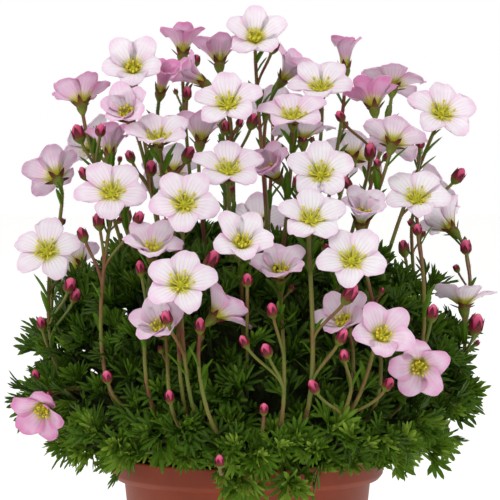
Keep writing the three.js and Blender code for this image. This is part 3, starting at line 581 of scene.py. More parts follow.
def makePot():
    rim, wall, top, base = pot["rimRadius"], pot["wall"], pot["height"], pot["base"]
    foot = top - pot["band"]
    neck = rim - pot["step"]
    profile = [
        (0, base - 1), (1.2, base), (foot - 0.6, neck),  # foot and outer wall
        (foot, rim - 2), (foot + 2, rim - 0.4), (top - 1.6, rim - 0.05),  # band
        (top - 0.5, rim), (top, rim - 0.4), (top, rim - wall),  # lip
        (foot + 1.6, rim - wall - 0.6), (foot + 0.8, neck - wall), (2, base - wall),  # inner wall and floor
    ]
    piece = grow("plastic_pot", pot["sides"], [(height, radius, radius) for height, radius in profile])
    rounding = piece.modifiers.new("edges", "BEVEL")
    rounding.width = pot["edge"]
    rounding.segments = 3
    rounding.limit_method = "ANGLE"
    rounding.angle_limit = math.radians(35)
    holes = []
    for n in range(pot["holes"]["count"]):
        bpy.ops.object.select_all(action="DESELECT")
        bpy.ops.mesh.primitive_cylinder_add(
            vertices=24, radius=pot["holes"]["radius"], depth=6,
            location=levelWay(360 * n / pot["holes"]["count"]) * pot["holes"]["ring"] + up)
        holes.append(bpy.context.object)
    cutter = joined("drainHoles", holes)
    cut = piece.modifiers.new("drain", "BOOLEAN")
    cut.object = cutter
    applyModifiers(piece)
    dropModels(cutter)
    piece.data.materials.append(mouldedPolypropylene())
    settle(piece, ["pot"], 40)


# Growing medium
soil = {
    "top": 81,
    "crown": 0.6,  # how far its middle stands over that
    "fall": 26,  # it falls by 1 mm in so many towards the wall
    "room": 0.6,  # between it and the wall
    "sides": 64,
    "rings": (44, 38, 32, 26, 20, 14, 8, 3),
    "bumps": (-0.9, 0.7),
    "crumbs": 420,
    "crumbSize": (0.9, 2.4),
    "crumbShape": (0.7, 1.15),
    "crumbTurn": 2.39996,  # from one to the next, in radians, which spreads them evenly
    "sunk": 0.2,
}


def soilTopAt(reach):
    return soil["top"] + soil["crown"] - reach / soil["fall"]


def makeSoil():
    inner = pot["wall"] + soil["room"]
    shoulder = soil["top"] - 3
    rings = [(2.3, potWallAt(2) - inner), (shoulder, potWallAt(shoulder) - inner)]
    rings += [(soilTopAt(radius), radius) for radius in soil["rings"]]
    bed = grow("soilBed", soil["sides"], [(height, radius, radius) for height, radius in rings])
    draw = randomFrom(21)
    for point in bed.data.vertices:
        if point.co.z > soil["top"] - 2.5:
            point.co.z += draw(*soil["bumps"])
    bpy.ops.object.select_all(action="DESELECT")
    bpy.ops.mesh.primitive_ico_sphere_add(subdivisions=1, radius=1)
    crumb = bpy.context.object
    for point in crumb.data.vertices:
        point.co *= draw(*soil["crumbShape"])
    parts = [bed]
    for n in range(soil["crumbs"]):
        reach = soil["rings"][0] * math.sqrt(draw())
        angle = n * soil["crumbTurn"]
        size = draw(*soil["crumbSize"])
        spin = Matrix.Rotation(draw(0, math.tau), 4, "X") @ Matrix.Rotation(draw(0, math.tau), 4, "Z")
        place = Vector((reach * math.cos(angle), reach * math.sin(angle), soilTopAt(reach) - soil["sunk"]))
        parts.append(copyOf(crumb, Matrix.Translation(place) @ spin @ Matrix.Scale(size, 4)))
    dropModels(crumb)
    piece = joined("potting_mix", parts)
    piece.data.materials.append(sievedPeat())
    settle(piece, ["soil"], 30)


# Where blooms and stems stand, by the same rules as in the part
outerStem = {
    "beyond": 62,  # a bloom further out and lower has a stem that stands before the leaves
    "below": 196,
    "root": 44,  # its distance from the pot's axis
    "rootHeight": 100,
    "knee": 192,  # distance of its lower handle, less a share of the bloom's own
    "kneeShare": 0.75,
    "kneeSide": 0.7,  # that handle's way sideways, as a share
    "kneeHeight": 108,
    "straight": 0.15,  # share of it that runs on from the bloom's axis
    "clear": (0.44, 0.04, 14),  # first share of it that leaves keep clear of, step, and number of steps
}
innerStem = {
    "root": (12, 46),
    "rootShare": 0.55,  # of the bloom's distance, and so much more
    "rootMore": 4,
    "rootHeight": (102, 128),
    "drop": 30,  # from the bloom to the root, within those heights
    "lean": 0.25,
    "rise": 0.45,
    "straight": 0.2,
}


def bloomFrame(bloom):
    x, y, z, turn, lift, spread, roll = bloom
    axis = heading(turn, lift)
    across = up.cross(axis).normalized()
    along = axis.cross(across)
    return {"throat": Vector((x, y, z)), "axis": axis, "across": across, "along": along,
            "roll": math.radians(roll), "spread": spread}


def outward(stand, angle):
    turn = angle + stand["roll"]
    return stand["across"] * math.cos(turn) + stand["along"] * math.sin(turn)


def standing(stand, turn=0.0):
    first = outward(stand, turn)
    return basis(first, stand["axis"].cross(first), stand["axis"], stand["throat"])


def bezierPoint(curve, share):
    a, b, c, d = curve
    rest = 1 - share
    return a * rest ** 3 + b * 3 * rest * rest * share + c * 3 * rest * share * share + d * share ** 3


def bezierAhead(curve, share):
    return (bezierPoint(curve, share + 0.01) - bezierPoint(curve, share - 0.01)).normalized()


def lowAndOuter(place):
    return math.hypot(place.x, place.y) > outerStem["beyond"] and place.z < outerStem["below"]


def within(limits, value):
    return min(limits[1], max(limits[0], value))


# The line of a stem from inside the cushion to the foot of its bloom
def stemCurve(number):
    place, axis = stands[number]["throat"], stands[number]["axis"]
    end = place - axis * calyxDepth
    reach = math.hypot(place.x, place.y)

    def at(distance, sideways, height):
        return Vector((place.x / reach * distance * sideways, place.y / reach * distance, height))

    if number not in innerStems and lowAndOuter(place) and axis.z > 0:
        root = at(outerStem["root"], 1, outerStem["rootHeight"])
        low = at(outerStem["knee"] - outerStem["kneeShare"] * reach, outerStem["kneeSide"],
                 outerStem["kneeHeight"])
        return (root, low, end - axis * outerStem["straight"] * (end - root).length, end)
    root = at(within(innerStem["root"], innerStem["rootShare"] * reach + innerStem["rootMore"]), 1,
              within(innerStem["rootHeight"], place.z - innerStem["drop"]))
    span = (end - root).length
    level = Vector((place.x - root.x, place.y - root.y, 0))
    low = root + level * innerStem["lean"] + up * innerStem["rise"] * span
    return (root, low, end - axis * innerStem["straight"] * span, end)


stands = [bloomFrame(bloom) for bloom in blooms]
curves = [stemCurve(number) for number in range(len(blooms))]
owners = [clumpOf(curve[0]) for curve in curves]
clumpNodes = [f"leafy_clump_{n + 1}" for n in range(clumpCount)]

# Corollas
petal = {
    "columns": 13,
    "rows": 11,
    "thickness": 0.32,
    "length": (0.94, 1.05),  # as shares of petalLength and of halfWidth
    "width": (0.92, 1.06),
    "halfWidth": 5.55,
    "claw": 0.34,  # width of its foot, as a share of the widest
    "swell": (0.755, 1.2),  # how it widens: share of half a wave, and power
    "roundness": (0.4, 2.15),  # how far its corners are cut back, as a share of its length, and power
    "notch": (-0.01, 0.035),  # dent of its tip
    "cup": (0.8, 1.7),  # how far its sides rise
    "recurve": (0.0, 1.6),  # how far its tip turns back
    "wave": (0.15, 0.5),
    "ripple": 0.2,  # of its tip
    "crease": 0.07,  # depth of the furrows along the veins
    "twist": (2, 6),  # degrees, so that each lies under one neighbour and over the other
    "turn": 3,  # degrees that one may stand off its fifth of the circle
    "tilt": 6,  # and off the bloom's own opening
    "wrap": {"below": 62, "over": 52, "most": 0.85},  # those of less open blooms wrap round the axis
    "lift": 0.6,  # of its foot over the throat
    "paleTint": 0.08,  # pink of most blooms
    "tintMore": (0, 0.12),  # from bloom to bloom, and from petal to petal
    "tintOff": (-0.02, 0.03),
}
# Younger blooms, which are pinker
pinker = {
    0: 0.46, 2: 0.3, 3: 0.82, 4: 0.56, 5: 0.46, 6: 0.06, 7: 0.5, 9: 0.34, 11: 0.24, 13: 0.5, 14: 0.22,
    15: 0.68, 16: 0.16, 18: 0.2, 19: 0.42, 21: 0.1, 22: 0.3, 25: 0.36, 29: 0.2, 31: 0.14, 32: 0.24,
    34: 0.3, 35: 0.16, 38: 0.34, 39: 0.3, 40: 0.34, 41: 0.36, 42: 0.5, 43: 0.66,
}


def petalBlank():
    bpy.ops.object.select_all(action="DESELECT")
    bpy.ops.mesh.primitive_grid_add(
        x_subdivisions=petal["columns"] - 1, y_subdivisions=petal["rows"] - 1, size=2, calc_uvs=True)
    blank = bpy.context.object
    thicken = blank.modifiers.new("thickness", "SOLIDIFY")
    thicken.thickness = petal["thickness"]
    thicken.offset = 0
    applyModifiers(blank)
    blank.data.uv_layers[0].name = "petalMap"
    setLevel(blank.data, "under", lambda place: float(place.z < 0))
    blank.data.materials.append(petalSkin)
    return blank


def makeCorolla(number, blank):
    stand = stands[number]
    draw = randomFrom(100 + number)
    turnPer = math.radians(2 * petalCurl)
    parts = []
    tint = pinker.get(number, petal["paleTint"]) + draw(*petal["tintMore"])
    wrapping = petal["wrap"]
    wrap = within((0.0, wrapping["most"]), (wrapping["below"] - stand["spread"]) / wrapping["over"])
    depth, power = petal["roundness"]
    for n in range(5):
        angle = math.radians(72 * n + draw(-petal["turn"], petal["turn"]))
        spread = math.radians(stand["spread"] + draw(-petal["tilt"], petal["tilt"]))
        foot = spread - turnPer / 2
        arm = petalLength * draw(*petal["length"]) / turnPer
        halfWidth = petal["halfWidth"] * draw(*petal["width"])
        cup, recurve, wave = draw(*petal["cup"]), draw(*petal["recurve"]), draw(*petal["wave"])
        twist = math.tan(math.radians(draw(*petal["twist"])))
        phase = draw(0, math.tau)
        notch = draw(*petal["notch"])
        part = copyOf(blank, Matrix.Identity(4), tint=tint + draw(*petal["tintOff"]))
        for point in part.data.vertices:
            c, share, off = point.co.x, (point.co.y + 1) / 2, point.co.z
            # Outline
            swell = math.sin(math.pi * petal["swell"][0] * share ** petal["swell"][1])
            width = halfWidth * (petal["claw"] + (1 - petal["claw"]) * swell)
            roundness = depth * (1 - (1 - 0.985 * abs(c) ** power) ** (1 / power))
            s = share - share ** 3 * (roundness + notch * math.exp(-(c / 0.22) ** 2))
            # Relief
            off += cup * c * c * (width / halfWidth) ** 2 + c * width * twist * min(1, share * 2)
            off -= recurve * max(0, share - 0.55) ** 2 * 4
            off += wave * math.sin(4.2 * c + phase) * share * share
            off += petal["ripple"] * math.cos(9 * c + phase) * share ** 4
            off += petal["crease"] * math.cos(13 * c) * math.sin(math.pi * share)
            # Place, along an arc that flattens towards the tip
            here = foot + turnPer * s
            radius = throatRadius + arm * (math.cos(foot) - math.cos(here)) - off * math.cos(here)
            height = petal["lift"] + arm * (math.sin(here) - math.sin(foot)) + off * math.sin(here)
            turn = angle + wrap * c * width / max(radius, 2 * throatRadius)
            point.co = (stand["throat"] + outward(stand, turn) * radius + stand["axis"] * height
                        + outward(stand, turn + math.pi / 2) * (1 - wrap) * c * width)
        parts.append(part)
    piece = joined(f"corolla_{number + 1:02d}", parts)
    turnFacesOut(piece)
    settle(piece, [f"bloom_{number + 1:02d}"], 60)


# Hearts of the blooms: ovary with two styles, ring of nectar tissue and ten stamens
heart = {
    "ovary": [(-0.6, 1.3, 1.3), (0.6, 1.55, 1.55), (1.1, 1.6, 1.6), (1.5, 1.4, 1.4), (1.7, 1.1, 1.1),
              (2.5, 0.9, 0.9), (3.0, 0.5, 0.5)],
    "styleFoot": (0.45, 2.4),  # distance from the middle, and height
    "styleLength": 1.9,
    "styleApart": 1.0,  # how far each leans outwards
    "styleRadius": (0.42, 0.3),
    "stamens": 10,
    "ring": (1.3, 0.9),  # radius on which they stand, and height
    "filament": 3.9,
    "lengths": ((0.62, 0.86), (0.9, 1.12)),  # shares of that: short and long ones take turns
    "filamentRadius": 0.24,
    "anther": [(-0.65, 0.26, 0.26), (-0.2, 0.52, 0.44), (0.3, 0.5, 0.4), (0.65, 0, 0)],
    "leans": (2, 18, 46),  # degrees from the axis, for nearly closed, half open and open blooms
    "uneven": 0.15,  # share of that by which one may be off
    "longLean": 0.12,  # and by which the long ones lean more, and the short ones less
}


def makeHeartModel(lean):
    draw = randomFrom(31 + lean)
    ovary = grow("ovary", 14, heart["ovary"])
    ovary.data.materials.append(discFlesh)
    parts = [ovary]
    thick, thin = heart["styleRadius"]
    for side in (-1, 1):
        start = Vector((heart["styleFoot"][0] * side, 0, heart["styleFoot"][1]))
        end = start + Vector((heart["styleApart"] * side, 0, heart["styleLength"]))
        path = [(start, start - up, start + up * 0.8, thick), (end, end - up * 0.7, end + up * 0.4, thin)]
        parts.append(rods("style", [path], 1, 3, discFlesh))
    anther = grow("antherModel", 6, heart["anther"])
    anther.data.materials.append(antherFlesh)
    paths = []
    for n in range(heart["stamens"]):
        away = levelWay(360 * (n + 0.5 * draw(-0.3, 0.3)) / heart["stamens"])
        uneven = draw(-heart["uneven"], heart["uneven"])
        tilt = math.radians(lean * (1 + uneven + (heart["longLean"] if n % 2 else -heart["longLean"])))
        length = heart["filament"] * draw(*heart["lengths"][n % 2])
        start = away * heart["ring"][0] + up * heart["ring"][1]
        end = start + (away * math.sin(tilt) + up * math.cos(tilt)) * length
        paths.append([
            (start, start - away * 0.5, start + away * 0.9 + up * 1.2, heart["filamentRadius"] * 1.2),
            (end, end - up * 1.2, end + up, heart["filamentRadius"] * 0.8)])
        spin = Matrix.Rotation(draw(0, math.tau), 4, "Z") @ Matrix.Rotation(draw(0.3, 1.5), 4, "X")
        parts.append(copyOf(anther, Matrix.Translation(end + up * 0.2) @ spin))
    parts.append(rods("filaments", paths, 0, 3, filamentFlesh))
    dropModels(anther)
    return joined(f"heart{lean}", parts)


# Green cups with their five sepals
calyx = {
    "cup": [(-4.7, 0.75, 0.75), (-3.9, 1.15, 1.15), (-2.6, 1.8, 1.8), (-1.2, 2.15, 2.15), (-0.2, 2.0, 2.0),
            (0.3, 1.7, 1.7)],
    "sepal": [(0, 0.95, 0.28), (1.3, 1.0, 0.28), (2.9, 0.66, 0.22), (4.3, 0, 0)],
    "root": (1.55, -0.9),  # radius and height at which the sepals leave the cup
    "first": -36,  # degrees, so that they stand between the petals
    "leans": (20, 45, 68),
    "cupFlush": (-9, 6),  # heights where the maroon starts and where it is full
    "sepalFlush": (-3, 3.8),
}


def setReach(model, low, high):
    setLevel(model.data, "reach", lambda place: (place.z - low) / (high - low))


# Five sepals round the top of a cup
def sepalRing(sepal, first, lean, root):
    ring = []
    for n in range(5):
        away = levelWay(72 * n + first)
        side = up.cross(away)
        ahead = away * math.sin(math.radians(lean)) + up * math.cos(math.radians(lean))
        ring.append(copyOf(sepal, basis(side, ahead.cross(side), ahead, away * root[0] + up * root[1])))
    dropModels(sepal)
    return ring


def makeCalyxModel(lean):
    cup = grow("cup", 15, calyx["cup"])
    setReach(cup, *calyx["cupFlush"])
    sepal = grow("sepal", 4, calyx["sepal"])
    setReach(sepal, *calyx["sepalFlush"])
    model = joined(f"calyx{lean}", [cup, *sepalRing(sepal, calyx["first"], lean, calyx["root"])])
    model.data.materials.append(sepalSkin)
    return model


# Which of the three models suits a bloom
def nearestLean(spread):
    return min(range(3), key=lambda n: abs(calyx["leans"][n] - spread))


def makeHearts():
    hearts = [makeHeartModel(lean) for lean in heart["leans"]]
    calyxes = [makeCalyxModel(lean) for lean in calyx["leans"]]
    heartParts = []
    cupParts = [[] for _ in range(clumpCount)]
    for number, stand in enumerate(stands):
        kind = nearestLean(stand["spread"])
        # Each turned a little further, so that neighbours don't look alike
        heartParts.append(copyOf(hearts[kind], standing(stand, math.radians(number * 40 % 72))))
        cupParts[owners[number]].append(copyOf(calyxes[kind], standing(stand)))
    dropModels(*hearts, *calyxes)
    settle(joined("stamens_and_ovaries", heartParts), angle=60)
    return cupParts


# Buds: petals rolled in a spiral, held by five sepals
bud = {
    "petals": [(-1.8, 1.8, 1.8), (-0.6, 2.5, 2.5), (0.9, 2.65, 2.65), (2.4, 2.15, 2.15), (3.6, 1.25, 1.25),
               (4.3, 0, 0)],
    "fold": 0.86,  # how deep the furrows between the rolled petals are
    "twist": 0.22,  # turn of the furrows per millimetre
    "cup": [(-4.2, 0.9, 0.9), (-3.5, 1.65, 1.65), (-2.5, 2.35, 2.35), (-1.4, 2.7, 2.7), (-1.0, 2.1, 2.1)],
    "sepal": [(0, 1.25, 0.3), (1.7, 1.25, 0.3), (3.4, 0.8, 0.24), (5.0, 0, 0)],
    "root": (2.5, -1.8),  # radius and height at which the sepals leave the cup
    "lean": 1.1458,  # of the sepals, in degrees
    "petalFlush": (-3, 5.5),  # heights where the flush starts and where it is full
    "cupFlush": (-8, 4),
    "sepalFlush": (-6, 3),
    "stretch": (0.92, 1.22),  # the longer ones are about to open
    "tight": 0.8,  # how much of the petals the young ones show
    "slim": 0.8,
    "seat": 3.5,  # from its middle down to the end of its stalk
    "lift": 0.8,  # how far one turns upwards from its stalk
    "small": {  # young ones, on short stalks along the stems
        "tries": 3,
        "size": (0.42, 0.68),
        "stalk": (5, 11),
        "share": (0.6, 0.92),  # of the stem, where they fork
        "out": 0.6,  # how far they turn away from it
        "half": 4,  # half the length of one of full size
        "apart": 7,
        "top": 256,
    },
}


def makeBudModel(name, shown):
    roll = grow("bud", 15, bud["petals"])
    roll.data.transform(Matrix.Diagonal((shown, shown, shown, 1)))
    for n, point in enumerate(roll.data.vertices):
        turn = Matrix.Rotation(point.co.z * bud["twist"], 3, "Z")
        shrink = bud["fold"] if n % 3 == 0 else 1
        point.co = turn @ Vector((point.co.x * shrink, point.co.y * shrink, point.co.z))
    setReach(roll, *bud["petalFlush"])
    roll.data.materials.append(budSkin)
    cup = grow("budCup", 12, bud["cup"])
    setReach(cup, *bud["cupFlush"])
    sepal = grow("budSepal", 4, bud["sepal"])
    setReach(sepal, *bud["sepalFlush"])
    cup.data.materials.append(sepalSkin)
    sepal.data.materials.append(sepalSkin)
    return joined(name, [roll, cup, *sepalRing(sepal, 0, bud["lean"], bud["root"])])


def alongAxis(axis, place, turn=0.0, size=1.0):
    side = axis.orthogonal().normalized()
    side = Matrix.Rotation(turn, 3, axis) @ side
    return basis(side, axis.cross(side), axis, place) @ Matrix.Scale(size, 4)


# Flower stems, the side stalks of the buds, and bracts where they fork
stem = {
    "radius": 0.68,
    "stalkRadius": 0.5,
    "youngShare": 0.7,  # of that, for the small buds
    "stout": {27: 1.2},  # stems thicker than the others
    "foot": 1.15,  # thicker towards the root, as a share
    "hairs": {"count": 15, "from": 0.25, "over": 0.74, "size": 1},  # tufts, and the share they take up
    "stalkHairs": {"count": 6, "from": 0, "over": 1, "size": 0.75},
    "tuft": 7,
    "hairLength": 0.9,
    "hairRadius": 0.07,
    "bracts": {"count": 5, "share": (0.46, 0.93), "size": (7, 13)},
    "ownBracts": {"chance": 0.2, "share": (0.55, 0.85), "size": (9, 13)},  # those of the part itself
    "budBract": (5, 9),
    "ease": 0.35,  # share of a side stalk that runs on from the stem, and from its bud
}
# Where a side stalk leaves a stem
fork = {
    "from": 0.35,  # share of the stem
    "step": 0.05,
    "steps": 12,
    "below": 8,  # it starts so far below its bud, or counts as further away
    "penalty": 30,
    "drop": 0.1,  # share of the stem by which it leaves below the nearest place
    "lowest": 0.12,
}
# A stalk of its own, from inside the cushion
loneStalk = {
    "beyond": 22,  # for a bud further than this from any stem
    "root": 44,  # distance from the pot's axis
    "rootHeight": (96, 112),
    "below": 24,  # its root is so far below the bud, within those heights
    "out": 0.4,
    "rise": 0.1,
    "straight": 0.22,
    "lean": 0.3,  # of its bud, outwards
}


# A tuft of hairs round a stem, by turns a little up and down, and none at another's height
def makeHairModel():
    hair = grow("hair", 3, [(0.0, stem["hairRadius"], stem["hairRadius"]), (stem["hairLength"], 0, 0)])
    parts = []
    for n in range(stem["tuft"]):
        away = levelWay(360 * n / stem["tuft"])
        ahead = (away + up * (0.35 if n % 2 else -0.15)).normalized()
        start = away * stem["radius"] * 0.8 + up * (n * 0.37 % 1.2)
        parts.append(copyOf(hair, alongAxis(ahead, start)))
    dropModels(hair)
    tuft = joined("hairs", parts)
    tuft.data.materials.append(stemSkin)
    return tuft


# Young buds on short stalks along the stems, clear of the blooms and the other buds
def smallBuds():
    rule = bud["small"]
    draw = randomFrom(83)
    taken = [Vector((x, y, z)) for x, y, z, size in buds]
    found = []
    for index, curve in enumerate(curves):
        for _ in range(rule["tries"]):
            share = draw(*rule["share"])
            size, stalk, around = draw(*rule["size"]), draw(*rule["stalk"]), draw(0, 360)
            away = (heading(around, 0) * rule["out"] + bezierAhead(curve, share)).normalized()
            centre = bezierPoint(curve, share) + away * (stalk + rule["half"] * size)
            free = all((centre - other).length > rule["apart"] for other in taken)
            clear = not inCorolla(centre) and not inCorolla(centre + away * rule["half"])
            if free and clear and centre.z < rule["top"]:
                taken.append(centre)
                found.append((index, share, centre, away, size))
                break
    return found


# Distance from a bud to the nearest good place for its stalk on a stem, that stem's number, and where on it
def forkFor(place):
    best = (math.inf, 0, 0)
    for index, curve in enumerate(curves):
        for step in range(fork["steps"]):
            share = fork["from"] + fork["step"] * step
            point = bezierPoint(curve, share)
            distance = (point - place).length + (fork["penalty"] if point.z > place.z - fork["below"] else 0)
            if distance < best[0]:
                best = (distance, index, share)
    return best


# Where a stalk ends, inside the cup of its bud
def budFoot(centre, away, size):
    return centre - away * bud["seat"] * bud["slim"] * size


def loneStalkLine(centre, away, size):
    end = budFoot(centre, away, size)
    outwards = Vector((centre.x, centre.y, 0)).normalized()
    root = outwards * loneStalk["root"] + up * within(loneStalk["rootHeight"], centre.z - loneStalk["below"])
    span = (end - root).length
    after = root + outwards * loneStalk["out"] * span + up * loneStalk["rise"] * span
    return (root, after, end - away * loneStalk["straight"] * span, end)


def sideStalkLine(index, share, centre, away, size):
    end = budFoot(centre, away, size)
    start, ahead = bezierPoint(curves[index], share), bezierAhead(curves[index], share)
    span = (end - start).length
    return (start, start + ahead * stem["ease"] * span, end - away * stem["ease"] * span, end)


bract = {"out": 0.7, "lift": 10, "stretch": (1.9, 1, 1.5), "youth": 0.55}


def makeBract(model, curve, share, around, size):
    ahead = (bezierAhead(curve, share) + heading(around, bract["lift"]) * bract["out"]).normalized()
    side = ahead.cross(up).normalized()
    scale = Matrix.Diagonal((*bract["stretch"], 1)) @ Matrix.Scale(size / leaf["length"], 4)
    stand = basis(side, ahead, side.cross(ahead), bezierPoint(curve, share))
    return copyOf(model, stand @ scale, youth=bract["youth"])


# Tufts of hairs spread along a curve
def hairsAlong(model, curve, rule, draw):
    tufts = []
    for n in range(rule["count"]):
        share = rule["from"] + rule["over"] * (n + draw()) / rule["count"]
        ahead, place = bezierAhead(curve, share), bezierPoint(curve, share)
        tufts.append(copyOf(model, alongAxis(ahead, place, draw(0, math.tau), rule["size"])))
    return tufts


def makeStems(cupParts, bractModel):
    budModel = makeBudModel("budModel", 1)
    youngModel = makeBudModel("youngBudModel", bud["tight"])
    hairModel = makeHairModel()
    paths = [[] for _ in range(clumpCount)]
    parts = [[] for _ in range(clumpCount)]
    draw = randomFrom(3)
    extra = randomFrom(41)
    for number, curve in enumerate(curves):
        root, low, high, end = curve
        radius = stem["radius"] * stem["stout"].get(number, 1)
        paths[owners[number]].append([
            (root, root - up, low, radius * stem["foot"]), (end, high, end + (end - high) * 0.3, radius)])
        mine = parts[owners[number]]
        mine += hairsAlong(hairModel, curve, stem["hairs"], extra)
        rule = stem["ownBracts"]
        if draw() < rule["chance"]:
            mine.append(makeBract(bractModel, curve, draw(*rule["share"]), draw(0, 360), draw(*rule["size"])))
        rule = stem["bracts"]
        for _ in range(rule["count"]):
            mine.append(makeBract(
                bractModel, curve, extra(*rule["share"]), extra(0, 360), extra(*rule["size"])))
    stalks = []
    for x, y, z, size in buds:
        centre = Vector((x, y, z))
        distance, index, share = forkFor(centre)
        if distance > loneStalk["beyond"]:
            outwards = Vector((x, y, 0)).normalized()
            away = (outwards * loneStalk["lean"] + up * bud["lift"]).normalized()
            stalks.append((loneStalkLine(centre, away, size), centre, away, size, clumpOf(centre)))
        else:
            away = ((centre - bezierPoint(curves[index], share)).normalized() + up * bud["lift"]).normalized()
            line = sideStalkLine(index, max(fork["lowest"], share - fork["drop"]), centre, away, size)
            stalks.append((line, centre, away, size, owners[index]))
    for index, share, centre, away, size in smallBuds():
        stalks.append((sideStalkLine(index, share, centre, away, size), centre, away, size, owners[index]))
        parts[owners[index]].append(
            makeBract(bractModel, curves[index], share, extra(0, 360), extra(*stem["budBract"])))
    budParts = []
    for line, centre, away, size, owner in stalks:
        root, low, high, end = line
        young = size < bud["small"]["size"][1]
        radius = stem["stalkRadius"] * (stem["youngShare"] if young else 1)
        paths[owner].append([(root, root - up, low, radius), (end, high, end + away, radius * 1.25)])
        stretch = Matrix.Diagonal((1, 1, 1 if young else extra(*bud["stretch"]), 1))
        budParts.append(copyOf(
            youngModel if young else budModel,
            alongAxis(away, centre, extra(0, math.tau), bud["slim"] * size) @ stretch))
        parts[owner] += hairsAlong(hairModel, line, stem["stalkHairs"], extra)
    dropModels(budModel, youngModel, hairModel)
    for clump in range(clumpCount):
        rod = rods(f"stalks{clump}", paths[clump], 2, 14, stemSkin)
        piece = joined(f"flower_stems_{clump + 1}", [rod, *parts[clump], *cupParts[clump]])
        settle(piece, [clumpNodes[clump]], 50)
    settle(joined("buds", budParts), angle=50)


# Leaves: wedge-shaped, cut into narrow pointed lobes, on a stalk
leaf = {
    "length": 21,
    "halfWidth": 8,
    "wedge": [(0, 0.7, 0.45), (6, 0.65, 0.4), (10.5, 1.9, 0.34), (13, 1.0, 0.25)],
    "lobe": [(0.0, 0.62), (0.5, 1.0), (0.82, 0.72), (1.0, 0.0)],  # share of length, share of width
    "sideLobe": [(0.0, 0.7), (0.55, 1.0), (1.0, 0.0)],
    "lobeWidth": 1.35,  # half of it, at its widest
    "thickness": 0.36,
    "channel": 0.3,  # how deep a lobe is channelled along its middle, as a share of its half width
    "lobes": {  # foot and tip of each, across and along, for leaves with 1, 3 and 5 lobes
        1: [(0, 0, 0, 21)],  # bracts, which have no wedge
        3: [(0, 10, 0, 21), (1.0, 8.6, 5.4, 17.0)],
        5: [(0, 10.5, 0, 21), (1.1, 9.2, 4.6, 18.4), (2.2, 10.2, 8.2, 14.6)],
    },
    "stray": 1.1,  # how far a tip may be off
    "bend": (-2.5, 1.5, 5.0),  # how far the tip turns down, for three kinds
    "rise": 1.2,  # how far the sides stand up
}


def makeLeafModel(lobes, bend):
    parts = []
    draw = randomFrom(int(lobes * 10 + bend * 2 + 10))
    stray = leaf["stray"]
    for number, (footAcross, footAlong, across, along) in enumerate(leaf["lobes"][lobes]):
        for side in ((0,) if number == 0 else (-1, 1)):
            start = Vector((footAcross * side, footAlong, 0))
            tip = Vector((across * side + draw(-stray, stray), along + draw(-stray, 0), draw(-stray, stray)))
            reach = tip - start
            width = leaf["lobeWidth"] * draw(0.85, 1.1)
            outline = leaf["sideLobe"] if number > 1 else leaf["lobe"]
            lobe = grow("lobe", 4, [
                (reach.length * s, width * w, leaf["thickness"] if w else 0) for s, w in outline])
            # Marks each lobe's middle, where the leaf's material paints a highlight
            setLevel(lobe.data, "rib", lambda place: float(abs(place.x) < 1e-3))
            for point in lobe.data.vertices:
                point.co.y += leaf["channel"] * abs(point.co.x) - 0.1
            ahead = reach.normalized()
            flat = ahead.cross(up).normalized()
            lobe.data.transform(basis(flat, flat.cross(ahead), ahead, start))
            parts.append(lobe)
    if lobes > 1:
        stalk = grow("leafStalk", 4, leaf["wedge"])
        stalk.data.transform(basis(Vector((1, 0, 0)), up, Vector((0, 1, 0)), Vector((0, 0, 0))))
        parts.append(stalk)
    model = joined(f"leaf{lobes}_{bend}", parts)
    for point in model.data.vertices:
        share = point.co.y / leaf["length"]
        point.co.z += leaf["rise"] * abs(point.co.x) / leaf["halfWidth"] - bend * share * share
    turnFacesOut(model)
    model.data.materials.append(leafSkin)
    return model


